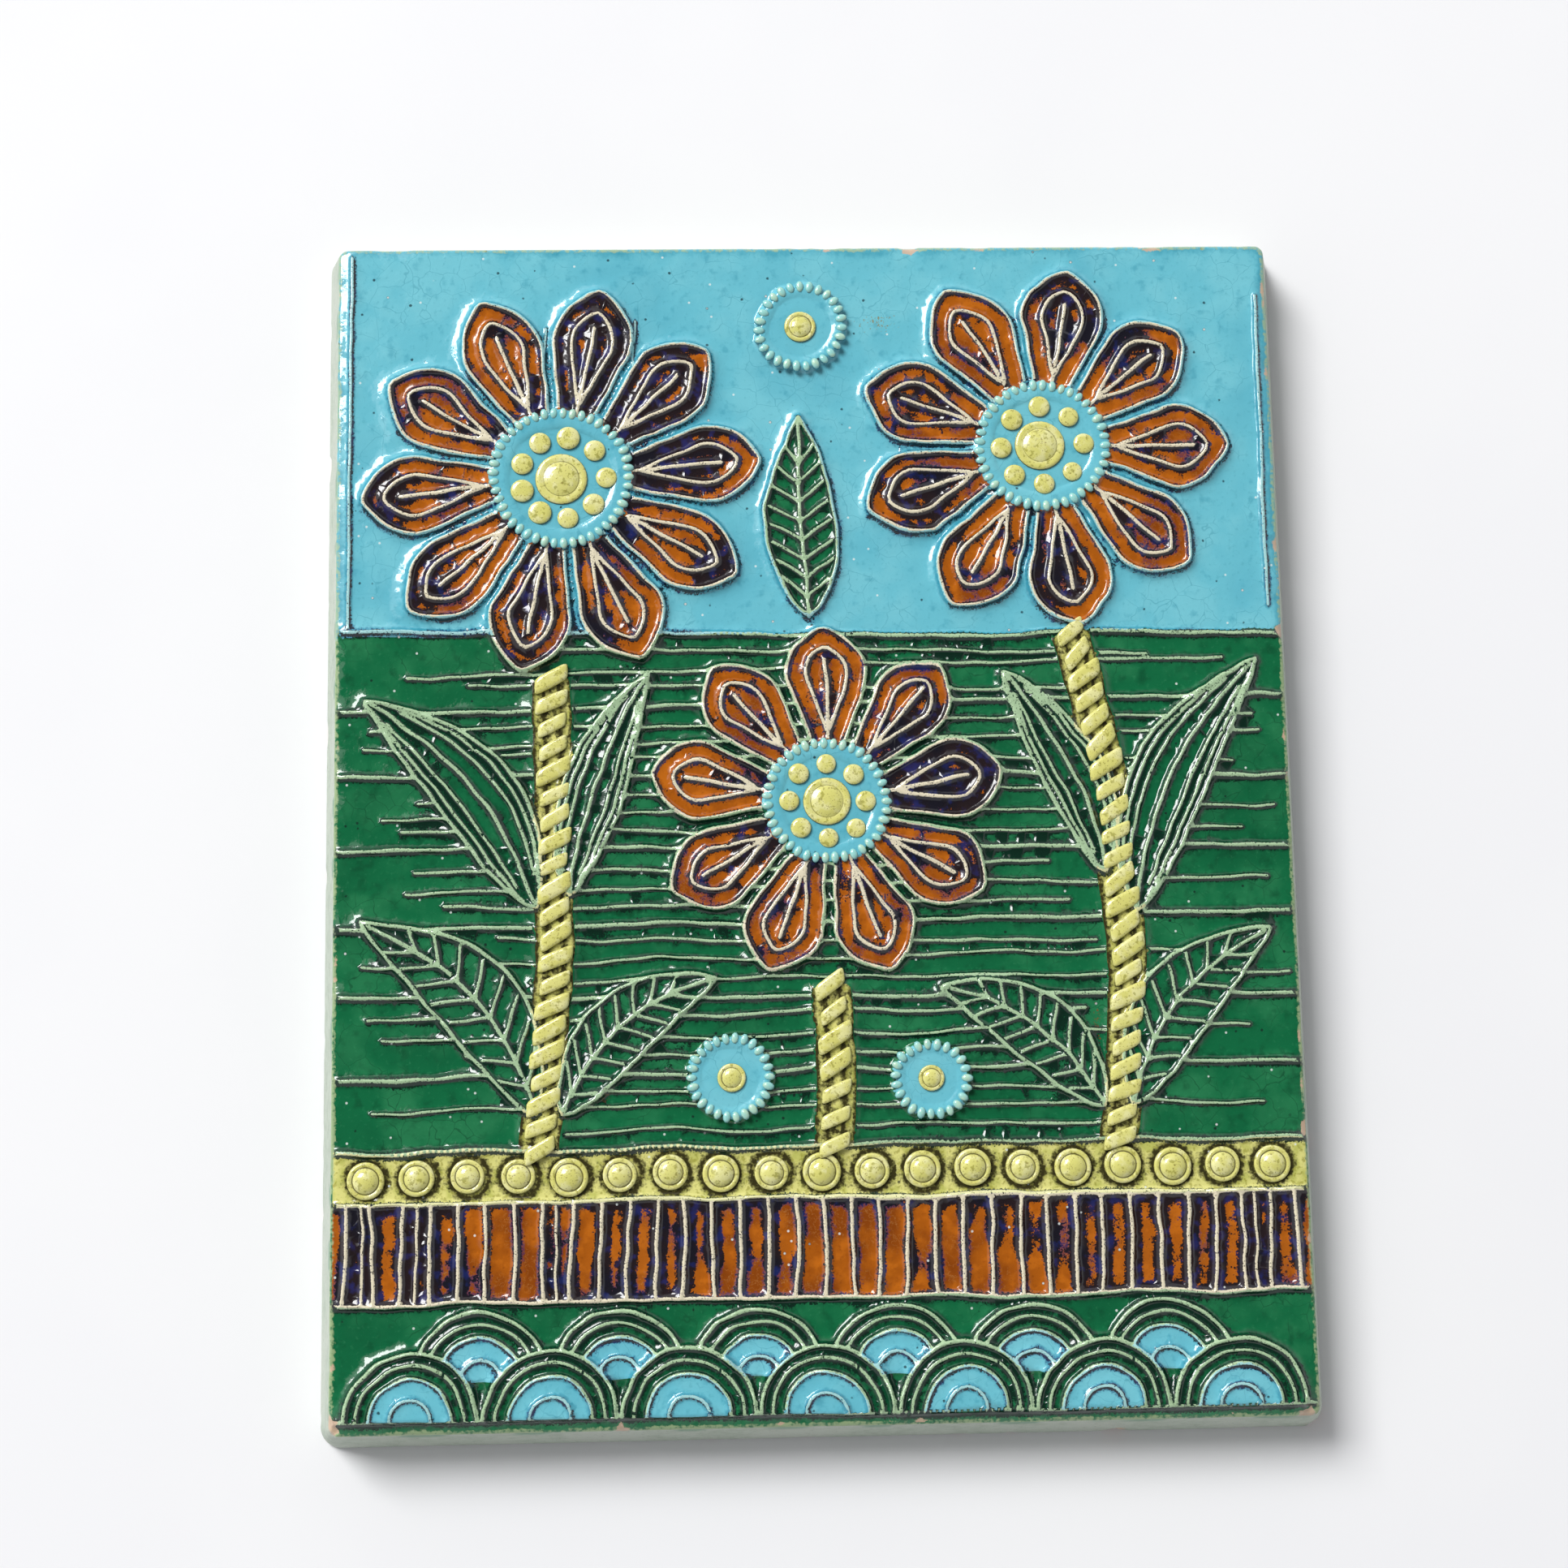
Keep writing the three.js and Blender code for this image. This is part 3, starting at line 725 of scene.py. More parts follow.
def face_points(layout, ring):
    """Where the face's mesh has its points: close rows along each line and step, a finer net where lines crowd
    each other and a loose net between them."""
    motifs = Motifs()
    lay_face(motifs, layout)
    half = layout.relief["line_width"] / 2
    crowded = 2.6 * half  # nearer than this to a line the fine net takes over from the loose one
    found, wanted = [], []
    # Rows on each path and at both sides of it, where a line's section bends and where a field's slope ends.
    for path, closed in motifs.paths:
        path = resampled(path, LINE_STEP, closed)
        across = normals(path, closed)
        for offset in (0.0, 0.62 * half, 1.3 * half, 2.3 * half)[: 4 if closed else 3]:
            for side in (1, -1) if offset else (1,):
                found.append(path + across * offset * side)
                wanted.append(np.full(len(path), offset))
    low, high = ring.min(0) + 0.9, ring.max(0) - 0.9
    rng = np.random.default_rng(layout.relief["seed"])
    nets = [scattered(low, high, pitch, rng) for pitch in (LOOSE_NET, FINE_NET)]
    count = sum(len(rows) for rows in found)
    points = np.vstack(found + nets)
    within = ((points > low) & (points < high)).all(1) & inside(points, ring * 0.995)
    relief = Relief(points, layout.relief)
    lay_face(relief, layout)
    # A row's points are kept where no other line is nearer than their own.
    rows = np.flatnonzero(within[:count] & (abs(relief.near[:count] - np.concatenate(wanted)) < 0.07))
    loose = np.arange(count, count + len(nets[0]))
    loose = loose[within[loose] & (relief.near[loose] > crowded)]
    fine = np.arange(count + len(nets[0]), len(points))
    fine = fine[within[fine] & (relief.near[fine] < crowded)]
    # The fine net keeps 1.25 mm away from the rows.
    taken = KDTree(len(rows))
    for i, row in enumerate(rows):
        taken.insert((*points[row], 0), i)
    taken.balance()
    fine = [i for i in fine if taken.find((*points[i], 0))[2] > 1.25]
    return thinned(points[np.concatenate([rows, loose, np.array(fine, int)])], CLOSEST)


def thinned(points, spacing):
    """The points without those that crowd an earlier one."""
    cells = np.round(points / spacing).astype(int)
    _, first = np.unique(cells, axis=0, return_index=True)
    return points[np.sort(first)]


def triangulated(points, rings):
    """Triangles over points in the plane whose outer edge and holes are closed rings of them."""
    edges = []
    for start, count in rings:
        edges += [(start + i, start + (i + 1) % count) for i in range(count)]
    made = delaunay_2d_cdt([Vector(p) for p in points], edges, [], 0, 1e-7)
    if len(made[0]) != len(points):
        raise RuntimeError("the face's net has points that fall on each other")
    order = [source[0] for source in made[3]]
    return np.array([[order[i] for i in face] for face in made[2]])


class Shell:
    """The points and triangles of a closed surface as it grows, with the part that each point belongs to."""

    def __init__(self):
        self.points, self.triangles, self.part = [], [], []
        self.count = 0

    def grow(self, outline, y, part):
        """Adds points on the plane at y, and gives their numbers."""
        self.points.append(np.insert(outline, 1, y, axis=1))
        self.part.append(np.full(len(outline), part))
        self.count += len(outline)
        return np.arange(self.count - len(outline), self.count)

    def wall(self, row, following):
        """Joins two rings of equally many points by a band of triangles."""
        ahead = np.roll(row, -1)
        self.triangles.append(np.column_stack([row, following, ahead]))
        self.triangles.append(np.column_stack([ahead, following, np.roll(following, -1)]))

    def finished(self):
        """The points, the triangles and each point's part."""
        return np.vstack(self.points), np.vstack(self.triangles), np.concatenate(self.part)


def slot_outline(slab, side):
    """The outline of a hanging slot in the back, on the left (-1) or the right (1)."""
    radius = slab["slot_width"] / 2
    straight = slab["slot_length"] / 2 - radius
    centre = np.array([side * slab["slot_spacing"] / 2, PLAQUE_HIGH.z / MM - slab["slot_below_top"]])
    round_end = circle(np.zeros(2), 1, SLOT_POINTS)
    lift = np.where(round_end[:, 1] > -1e-9, straight, -straight)
    return centre + radius * round_end + np.column_stack([np.zeros(SLOT_POINTS), lift])


def slab_surface(layout):
    """The slab's closed surface with a flat face: its points, its triangles and what each point belongs to."""
    slab, shell = layout.slab, Shell()
    thick, arris, draft = slab["thickness"], slab["arris"], slab["draft"]
    # The profile from the face's arris over the leaning side to the back's arris: how far in, and how far forward.
    turns = np.linspace(0, math.pi / 2, 4)
    profile = [(draft + arris * (1 - math.sin(a)), -thick + arris * (1 - math.cos(a))) for a in turns]
    profile += [(draft * (1 - s), -thick + arris + s * (thick - 2 * arris)) for s in np.linspace(0, 1, 9)[1:-1]]
    profile += [(arris * (1 - math.cos(a)), -arris + arris * math.sin(a)) for a in turns]
    rings, rows = [], []
    for inset, y in profile:
        radius = slab["face_corner"] + (slab["back_corner"] - slab["face_corner"]) * (1 + y / thick)
        rings.append(rounded_ring(PLAQUE_HIGH.x / MM - inset, PLAQUE_HIGH.z / MM - inset, radius, EDGE_STEP))
        rows.append(shell.grow(rings[-1], y, FRONT_EDGE if len(rows) < 3 else SIDE))
        if len(rows) > 1:
            shell.wall(rows[-2], rows[-1])

    front, back = rings[0], rings[-1]
    inner = face_points(layout, front)
    numbers = np.concatenate([rows[0], shell.grow(inner, -thick, FACE)])
    shell.triangles.append(numbers[triangulated(np.vstack([front, inner]), [(0, len(front))])])

    # The back has a loose net clear of the slots, which go in as blind holes.
    slots = [slot_outline(slab, side) for side in (-1, 1)]
    rng = np.random.default_rng(layout.relief["seed"])
    xs, zs = np.meshgrid(np.arange(-155, 156, BACK_NET), np.arange(-195, 196, BACK_NET))
    net = np.column_stack([xs.ravel(), zs.ravel()]) + rng.uniform(-1.5, 1.5, (xs.size, 2))
    for slot in slots:
        net = net[~inside(net, slot) & (distances(net, slot, True) > 2.5)]
    flat = np.vstack([back, *slots, net])
    mouths = [len(back) + k * SLOT_POINTS for k in range(len(slots))]
    made = triangulated(flat, [(0, len(back)), *((mouth, SLOT_POINTS) for mouth in mouths)])
    middles = flat[made].mean(1)
    made = made[~(inside(middles, slots[0]) | inside(middles, slots[1]))][:, ::-1]
    numbers = np.concatenate([rows[-1], shell.grow(flat[len(back) :], 0, BACK)])
    shell.triangles.append(numbers[made])
    for slot, mouth in zip(slots, mouths):
        floor = shell.grow(slot, -slab["slot_depth"], BACK)
        centre = shell.grow(slot.mean(0)[None], -slab["slot_depth"], BACK)
        shell.wall(numbers[mouth : mouth + SLOT_POINTS], floor)
        shell.triangles.append(np.column_stack([np.roll(floor, -1), floor, np.full(SLOT_POINTS, centre[0])]))
    return shell.finished()


def add(tree, kind, inputs=None, **settings):
    """Adds a node with its settings, and links or sets its inputs."""
    node = tree.nodes.new(kind)
    for name, value in settings.items():
        setattr(node, name, value)
    for socket, value in (inputs or {}).items():
        target = node.inputs[socket]
        if isinstance(value, bpy.types.Node):
            value = value.outputs[0]
        if isinstance(value, bpy.types.NodeSocket):
            tree.links.new(value, target)
        else:
            target.default_value = value
    return node


def placed(name, data):
    """A new object at the origin, in the scene."""
    made = bpy.data.objects.new(name, data)
    bpy.context.scene.collection.objects.link(made)
    return made


def mesh_object(name, points, triangles, attributes=None):
    """A mesh object at the origin from points in millimetres."""
    mesh = bpy.data.meshes.new(name)
    mesh.vertices.add(len(points))
    mesh.vertices.foreach_set("co", (np.asarray(points, np.float32) * MM).ravel())
    count = len(triangles)
    mesh.loops.add(count * 3)
    mesh.polygons.add(count)
    mesh.loops.foreach_set("vertex_index", np.asarray(triangles, np.int32).ravel())
    mesh.polygons.foreach_set("loop_start", np.arange(0, count * 3, 3, dtype=np.int32))
    for key, values in (attributes or {}).items():
        values = np.asarray(values, np.float32)
        kind, field = ("FLOAT_VECTOR", "vector") if values.ndim == 2 else ("FLOAT", "value")
        mesh.attributes.new(key, kind, "POINT").data.foreach_set(field, values.ravel())
    mesh.update()
    mesh.validate()
    mesh.shade_smooth()
    return placed(name, mesh)


def grown(guide, tree, values, name):
    """The plain mesh that a node tree makes of a guide object, which is then removed."""
    modifier = guide.modifiers.new("Nodes", "NODES")
    modifier.node_group = tree
    for item in tree.interface.items_tree:
        if item.item_type == "SOCKET" and item.in_out == "INPUT" and item.name in values:
            modifier[item.identifier] = values[item.name]
    bpy.context.view_layer.update()
    evaluated = guide.evaluated_get(bpy.context.evaluated_depsgraph_get())
    mesh = bpy.data.meshes.new_from_object(evaluated)
    mesh.name = name
    bpy.data.objects.remove(guide)
    return placed(name, mesh)


def tree_with(name, sockets):
    """A geometry node tree with named inputs, and those inputs and its output node."""
    tree = bpy.data.node_groups.new(name, "GeometryNodeTree")
    for label, kind in {"Geometry": "Geometry", **sockets}.items():
        tree.interface.new_socket(label, in_out="INPUT", socket_type="NodeSocket" + kind)
    tree.interface.new_socket("Geometry", in_out="OUTPUT", socket_type="NodeSocketGeometry")
    return tree, tree.nodes.new("NodeGroupInput").outputs, tree.nodes.new("NodeGroupOutput")


def relief_tree():
    """Raises the face by the relief's height, rounds it as a glaze does, makes its surface uneven, bites chips out of
    the arrises, and gives face, sides and back their materials."""
    lengths = dict.fromkeys(("Relief", "Wave", "Wave Size", "Chip", "Seed"), "Float")
    finishes = dict.fromkeys(("Face Glaze", "Side Wash", "Back Clay"), "Material")
    tree, given, made = tree_with("Raised relief", {"Softening": "Int", **lengths, **finishes})
    height, part, edge, broken = (
        add(tree, "GeometryNodeInputNamedAttribute", {"Name": name}, data_type="FLOAT")
        for name in ("height", "part", "edge", "broken")
    )
    place = add(tree, "GeometryNodeInputPosition")
    softened = add(tree, "GeometryNodeBlurAttribute", {"Value": height, "Iterations": given["Softening"]})
    wide = add(tree, "GeometryNodeBlurAttribute", {"Value": height, "Iterations": VALLEY_BLUR})
    valley = add(tree, "ShaderNodeMath", {0: wide, 1: softened}, operation="SUBTRACT")
    stored = {"Geometry": given["Geometry"], "Name": "valley", "Value": valley}
    shape = add(tree, "GeometryNodeStoreNamedAttribute", stored, data_type="FLOAT", domain="POINT")

    size = add(tree, "ShaderNodeMath", {0: 1.0, 1: given["Wave Size"]}, operation="DIVIDE")
    hills = {"Vector": place, "W": given["Seed"], "Scale": size, "Detail": 2.0}
    uneven = add(tree, "ShaderNodeTexNoise", hills, noise_dimensions="4D")
    centred = add(tree, "ShaderNodeMath", {0: uneven, 1: 0.5}, operation="SUBTRACT")
    wave = add(tree, "ShaderNodeMath", {0: centred, 1: given["Wave"]}, operation="MULTIPLY")
    on_face = add(tree, "FunctionNodeCompare", {0: part, 1: 0.5}, operation="LESS_THAN")
    there = add(tree, "ShaderNodeMath", {0: wave, 1: on_face}, operation="MULTIPLY")
    lift = add(tree, "ShaderNodeMath", {0: softened, 1: given["Relief"], 2: there}, operation="MULTIPLY_ADD")
    forward = add(tree, "ShaderNodeMath", {0: lift, 1: -1.0}, operation="MULTIPLY")
    offset = add(tree, "ShaderNodeCombineXYZ", {"Y": forward})
    shape = add(tree, "GeometryNodeSetPosition", {"Geometry": shape, "Offset": offset})

    pits = {"Vector": place, "W": given["Seed"], "Scale": 1 / (CHIP_PITCH * MM), "Detail": 3.0}
    bites = add(tree, "ShaderNodeTexNoise", pits, noise_dimensions="4D")
    bite = add(tree, "ShaderNodeMapRange", {"Value": bites, "From Min": 0.56, "From Max": 0.72})
    worn = add(tree, "ShaderNodeMath", {0: bite, 1: edge}, operation="MULTIPLY")
    depth = add(tree, "ShaderNodeMath", {0: worn, 1: given["Chip"]}, operation="MULTIPLY")
    inward = add(tree, "ShaderNodeMath", {0: depth, 1: -1.0}, operation="MULTIPLY")
    normal = add(tree, "GeometryNodeInputNormal")
    dent = add(tree, "ShaderNodeVectorMath", {0: normal, "Scale": inward}, operation="SCALE")
    shape = add(tree, "GeometryNodeSetPosition", {"Geometry": shape, "Offset": dent})
    bare = add(tree, "ShaderNodeMath", {0: worn, 1: broken}, operation="MAXIMUM")
    stored = {"Geometry": shape, "Name": "worn", "Value": bare}
    shape = add(tree, "GeometryNodeStoreNamedAttribute", stored, data_type="FLOAT", domain="POINT")

    shape = add(tree, "GeometryNodeRealizeInstances", {"Geometry": shape})
    for limit, label in ((-1.0, "Face Glaze"), (0.95, "Side Wash"), (1.2, "Back Clay")):
        beyond = add(tree, "FunctionNodeCompare", {0: part, 1: limit}, operation="GREATER_THAN")
        dressing = {"Geometry": shape, "Selection": beyond, "Material": given[label]}
        shape = add(tree, "GeometryNodeSetMaterial", dressing)
    tree.links.new(shape.outputs[0], made.inputs[0])
    return tree


def pads_tree():
    """Sets a pad at every step along guide paths, each a little off in size and turn."""
    lengths = dict.fromkeys(("Pitch", "Width", "Length", "Height", "Unevenness"), "Float")
    sockets = {"Pad": "Object", **lengths, "Seed": "Int", "Glaze": "Material"}
    tree, given, made = tree_with(PADS_TREE, sockets)
    path = add(tree, "GeometryNodeMeshToCurve", {"Mesh": given["Geometry"]})
    steps = add(tree, "GeometryNodeResampleCurve", {"Curve": path, "Length": given["Pitch"]}, mode="LENGTH")
    tangent = {"Vector": add(tree, "GeometryNodeInputTangent")}
    turned = add(tree, "FunctionNodeAlignRotationToVector", tangent, axis="X", pivot_axis="Y")
    limits = {0: (0, -PAD_TURN, 0), 1: (0, PAD_TURN, 0), "Seed": given["Seed"]}
    off_turn = add(tree, "FunctionNodeRandomValue", limits, data_type="FLOAT_VECTOR")
    turns = {"Rotation": turned, "Rotate By": off_turn}
    turn = add(tree, "FunctionNodeRotateRotation", turns, rotation_space="LOCAL")
    low = add(tree, "ShaderNodeMath", {0: 1.0, 1: given["Unevenness"]}, operation="SUBTRACT")
    high = add(tree, "ShaderNodeMath", {0: 1.0, 1: given["Unevenness"]}, operation="ADD")
    swell = add(tree, "FunctionNodeRandomValue", {2: low, 3: high, "Seed": given["Seed"]}, data_type="FLOAT")
    size = add(tree, "ShaderNodeCombineXYZ", {"X": given["Length"], "Y": given["Height"], "Z": given["Width"]})
    scale = add(tree, "ShaderNodeVectorMath", {0: size, "Scale": swell.outputs[1]}, operation="SCALE")
    pad = add(tree, "GeometryNodeObjectInfo", {"Object": given["Pad"]}).outputs["Geometry"]
    places = {"Points": steps, "Instance": pad, "Rotation": turn, "Scale": scale}
    pads = add(tree, "GeometryNodeInstanceOnPoints", places)
    chance = add(tree, "FunctionNodeRandomValue", {2: 0.0, 3: 1.0, "Seed": given["Seed"]}, data_type="FLOAT")
    stored = {"Geometry": pads, "Name": "shade", "Value": chance.outputs[1]}
    shaded = add(tree, "GeometryNodeStoreNamedAttribute", stored, data_type="FLOAT", domain="INSTANCE")
    whole = add(tree, "GeometryNodeRealizeInstances", {"Geometry": shaded})
    shown = add(tree, "GeometryNodeSetMaterial", {"Geometry": whole, "Material": given["Glaze"]})
    tree.links.new(shown.outputs[0], made.inputs[0])
    return tree


def material(name):
    """A new material with an empty node tree."""
    made = bpy.data.materials.new(name)
    made.use_nodes = True
    made.node_tree.nodes.clear()
    return made, made.node_tree


def mottles(tree, sizes_mm):
    """Even unevennesses between 0 and 1, by the millimetres between their hills."""
    where = add(tree, "ShaderNodeTexCoord").outputs["Object"]
    scaled = {size: {"Vector": where, "Scale": 1.6 / (size * MM), "Detail": 3.0} for size in sizes_mm}
    return {size: add(tree, "ShaderNodeTexNoise", inputs).outputs[0] for size, inputs in scaled.items()}


def spread(tree, mask, low, high, *terms, most=1.0):
    """How far something has spread: a share from 0 to most, as a mask plus others times their weights runs from
    low to high."""
    for other, weight in terms:
        mask = add(tree, "ShaderNodeMath", {0: other, 1: weight, 2: mask}, operation="MULTIPLY_ADD")
    inputs = {"Value": mask, "From Min": low, "From Max": high, "To Max": most}
    return add(tree, "ShaderNodeMapRange", inputs, interpolation_type="SMOOTHSTEP").outputs[0]


def laid_over(tree, under, layers):
    """Lays colours one over the other, each with the product of its shares."""
    for colour, share, *others in layers:
        for other in others:
            share = add(tree, "ShaderNodeMath", {0: share, 1: other}, operation="MULTIPLY")
        under = add(tree, "ShaderNodeMix", {0: share, 6: under, 7: colour}, data_type="RGBA").outputs[2]
    return under


def face_glaze(glaze):
    """Majolica glazes over an oxide wash: opaque, glassy and pooled, so colours deepen in the hollows, break pale
    over the raised lines, and carry a fine net of crazing, specks and white pinhole dots that also serve as painted
    glints."""
    made, tree = material("Majolica glaze over oxide wash")
    where = add(tree, "ShaderNodeTexCoord").outputs["Object"]
    line, lean, moat, valley, rim, worn = (
        add(tree, "ShaderNodeAttribute", attribute_name=name).outputs["Fac"]
        for name in ("line", "lean", "moat", "valley", "rim", "worn")
    )
    zone = add(tree, "ShaderNodeAttribute", attribute_name="zone").outputs["Vector"]
    grit, grain, patch, cloud, drift = mottles(tree, (0.9, 2.4, 7, 24, 70)).values()
    in_amber, in_turquoise, in_cream = (
        spread(tree, share, 0.6, 0.9, (grain, 0.5)) for share in add(tree, "ShaderNodeSeparateXYZ", {0: zone}).outputs
    )

    # Crazing: a net of hair cracks in bent cells about 8 mm wide, seen only in patches.
    shift = add(tree, "ShaderNodeTexNoise", {"Vector": where, "Scale": 0.12 / MM, "Detail": 2.0}).outputs["Color"]
    bent = add(tree, "ShaderNodeVectorMath", {0: shift, 1: (6 * MM,) * 3, 2: where}, operation="MULTIPLY_ADD")
    cells = add(tree, "ShaderNodeTexVoronoi", {"Vector": bent, "Scale": 1 / (8 * MM)}, feature="DISTANCE_TO_EDGE")
    crazing = spread(tree, cells, 0.018, 0.003), spread(tree, cloud, 0.44, 0.58)

    # Specks of iron, and white pinhole dots where gas left the melt that also serve as painted glints, in cells of 4.2
    # mm.
    grains = add(tree, "ShaderNodeTexVoronoi", {"Vector": where, "Scale": 1 / (4.2 * MM)}, feature="F1")
    chance = add(tree, "ShaderNodeSeparateXYZ", {0: grains.outputs["Color"]})
    specks = spread(tree, grains, 0.2, 0.13, (grit, 0.1)), spread(tree, chance.outputs[0], 0.76, 0.79)
    pinholes_and_glints = spread(tree, grains, 0.12, 0.07), spread(tree, chance.outputs[1], 0.945, 0.955)

    # The amber carries a paler net of fine veins, 2.5 mm apart, where it ran.
    fine = {"Vector": bent, "Scale": 0.4 / MM, "Detail": 5.0, "Roughness": 0.62}
    middle = add(tree, "ShaderNodeMath", {0: add(tree, "ShaderNodeTexNoise", fine), 1: 0.5}, operation="SUBTRACT")
    veins = spread(tree, add(tree, "ShaderNodeMath", {0: middle}, operation="ABSOLUTE"), 0.012, 0.0)
    amber = (
        (glaze["amber_light"], spread(tree, patch, 0.44, 0.64, most=0.85)),
        (glaze["amber_deep"], spread(tree, cloud, 0.44, 0.64, most=0.8)),
        (glaze["amber_deep"], spread(tree, grain, 0.54, 0.74, most=0.4)),
        (linear("#B4651F"), spread(tree, drift, 0.52, 0.64, most=0.35)),
        (linear("#DBA35E"), 0.4, veins, spread(tree, cloud, 0.5, 0.58)),
    )
    turquoise = (
        (linear("#7BC9D6"), spread(tree, cloud, 0.4, 0.66, most=0.8)),
        (linear("#5AB0C4"), spread(tree, drift, 0.48, 0.62, most=0.45)),
        (glaze["turquoise_deep"], spread(tree, patch, 0.56, 0.78, most=0.4)),
        (glaze["turquoise_deep"], spread(tree, line, 3.4, 1.9, (grain, 2.2), most=0.75)),
        (glaze["turquoise_deep"], spread(tree, rim, 13.5, 8.0, (cloud, 12), (grain, 6), most=0.55)),
        (linear("#4E9FAE"), spread(tree, grain, 0.56, 0.72, most=0.3)),
        (linear("#2F8397"), 0.32, *crazing),
    )
    green = (
        (linear("#2B7D50"), spread(tree, cloud, 0.42, 0.66, most=0.75)),
        (linear("#0E5A37"), spread(tree, drift, 0.46, 0.6, most=0.5)),
        (glaze["green_deep"], spread(tree, patch, 0.5, 0.78, most=0.4)),
        (linear("#3F9466"), spread(tree, grain, 0.56, 0.78, most=0.25)),
        (glaze["green_deep"], spread(tree, line, 4.0, 2.0, (grain, 2.2), most=0.7)),
        (glaze["green_deep"], 0.45, *crazing),
    )
    cream = (
        (linear("#B9BC5C"), spread(tree, patch, 0.42, 0.66, most=0.8)),
        (glaze["cream_deep"], spread(tree, grain, 0.52, 0.66, most=0.6)),
        (linear("#39351A"), spread(tree, moat, 4.8, 3.0, (grain, 4.0), (grit, 1.5))),
    )
    skin = laid_over(
        tree,
        laid_over(tree, glaze["green"], green),
        (
            (laid_over(tree, glaze["amber"], amber), in_amber),
            (laid_over(tree, glaze["turquoise"], turquoise), in_turquoise),
            (laid_over(tree, glaze["cream"], cream), in_cream),
            (glaze["oxide"], 0.8, *specks),
        ),
    )

    # The oxide wash beside the raised lines, with a ragged shore. It reaches further on their lower right, away from
    # the light, and that one-sided part is painted shade. In whole stretches of the amber it covers nearly everything
    # between two lines.
    crowded = add(tree, "ShaderNodeMath", {0: in_amber, 1: spread(tree, drift, 0.5, 0.6)}, operation="MULTIPLY")
    wash_and_shade_reach = (
        (grain, 1.5),
        (grit, 2.6),
        # Painted shade: more of the dark wash on each line's lower right, away from the light.
        (lean, -0.5),
        (cloud, -1.9),
        (spread(tree, valley, 0.16 * MM, 0.5 * MM), -0.25),
        (crowded, -1.7),
        (in_turquoise, 0.55),
        (in_cream, 0.2),
    )
    not_green = spread(tree, in_turquoise, 0.0, 1.0, (in_amber, 1.0))
    blue_edge = spread(tree, line, 3.3, 2.4, *wash_and_shade_reach, most=0.6), spread(tree, cloud, 0.5, 0.62), not_green
    wash = laid_over(
        tree,
        glaze["oxide"],
        (
            (glaze["cobalt"], spread(tree, patch, 0.5, 0.68, most=0.6), not_green),
            (glaze["green_deep"], spread(tree, in_turquoise, 1.0, 0.0, (in_amber, 1.0), most=0.7)),
        ),
    )
    # Where the dark wash is laid, including the painted shade on the lines' lower right.
    wash_and_shade_share = spread(tree, line, 2.7, 2.3, *wash_and_shade_reach, most=0.97)
    skin = laid_over(tree, skin, ((glaze["cobalt"], *blue_edge), (wash, wash_and_shade_share)))

    # The glaze breaks off the crests, which show pale, crossed by short dark ticks.
    bare = laid_over(
        tree,
        glaze["line_green"],
        (
            (glaze["line_cream"], in_amber),
            (linear("#A9DADA"), in_turquoise),
            (linear("#E9E7B0"), in_cream),
        ),
    )
    skin = laid_over(
        tree,
        skin,
        (
            (bare, spread(tree, line, 1.02, 0.78, (grit, 0.7)), spread(tree, grit, 0.66, 0.6, most=0.96)),
            # White pinhole dots, partly painted glints of light on the glaze.
            (linear("#E8F0EC"), 0.7, *pinholes_and_glints),
            (linear("#A9BC8C"), spread(tree, rim, 4.6, 3.4, (grain, 4.0), (grit, 1.0), (cloud, 3.0), most=0.75)),
            (glaze["clay"], spread(tree, worn, 0.62, 0.75, (grit, 0.4), most=0.9)),
        ),
    )
    for across, up, half_width, half_height, code in STAINS:
        scale = (1 / (half_width * MM), 0, 1 / (half_height * MM))
        shift = (-across / half_width, 0, -up / half_height)
        place = add(tree, "ShaderNodeVectorMath", {0: where, 1: scale, 2: shift}, operation="MULTIPLY_ADD")
        away = add(tree, "ShaderNodeVectorMath", {0: place}, operation="LENGTH").outputs["Value"]
        flecks = spread(tree, away, 2.45, 2.1, (grain, 2.2), (grit, 2.6), most=0.8)
        skin = laid_over(tree, skin, ((linear(code), flecks),))

    # The melt climbs the foot of each line, which gives its flank a broad bright highlight.
    surface = 0.0
    for mask, height in ((patch, 0.55), (grain, 0.16), (cloud, 1.4), (spread(tree, line, 1.9, 0.35), 1.5)):
        surface = add(tree, "ShaderNodeMath", {0: mask, 1: height, 2: surface}, operation="MULTIPLY_ADD")
    bump = add(tree, "ShaderNodeBump", {"Height": surface, "Strength": 0.7, "Distance": 0.35 * MM})
    glassy = {"Base Color": skin, "Roughness": 0.09, "IOR": 1.62, "Normal": bump}
    add(tree, "ShaderNodeOutputMaterial", {"Surface": add(tree, "ShaderNodeBsdfPrincipled", glassy)})
    return made


def simple_finish(name, first, layers, roughness, ior, relief_mm):
    """A finish of one ground colour with layers over it. A layer is its colour, its mask, which is a mottle's size in
    millimetres or an attribute, where the mask's effect starts and is full, and the most that it covers."""
    made, tree = material(name)
    masks = mottles(tree, sorted({mask for _, mask, *_ in layers if not isinstance(mask, str)} | {0.9, 6}))
    for _, mask, *_ in layers:
        if isinstance(mask, str):
            masks[mask] = add(tree, "ShaderNodeAttribute", attribute_name=mask).outputs["Fac"]
    known = [(colour, spread(tree, masks[mask], low, high, most=most)) for colour, mask, low, high, most in layers]
    uneven = add(tree, "ShaderNodeMath", {0: masks[0.9], 1: 0.3, 2: masks[6]}, operation="MULTIPLY_ADD")
    bump = add(tree, "ShaderNodeBump", {"Height": uneven, "Strength": 0.6, "Distance": relief_mm * MM})
    inputs = {"Base Color": laid_over(tree, first, known), "Roughness": roughness, "IOR": ior, "Normal": bump}
    add(tree, "ShaderNodeOutputMaterial", {"Surface": add(tree, "ShaderNodeBsdfPrincipled", inputs)})
    return made


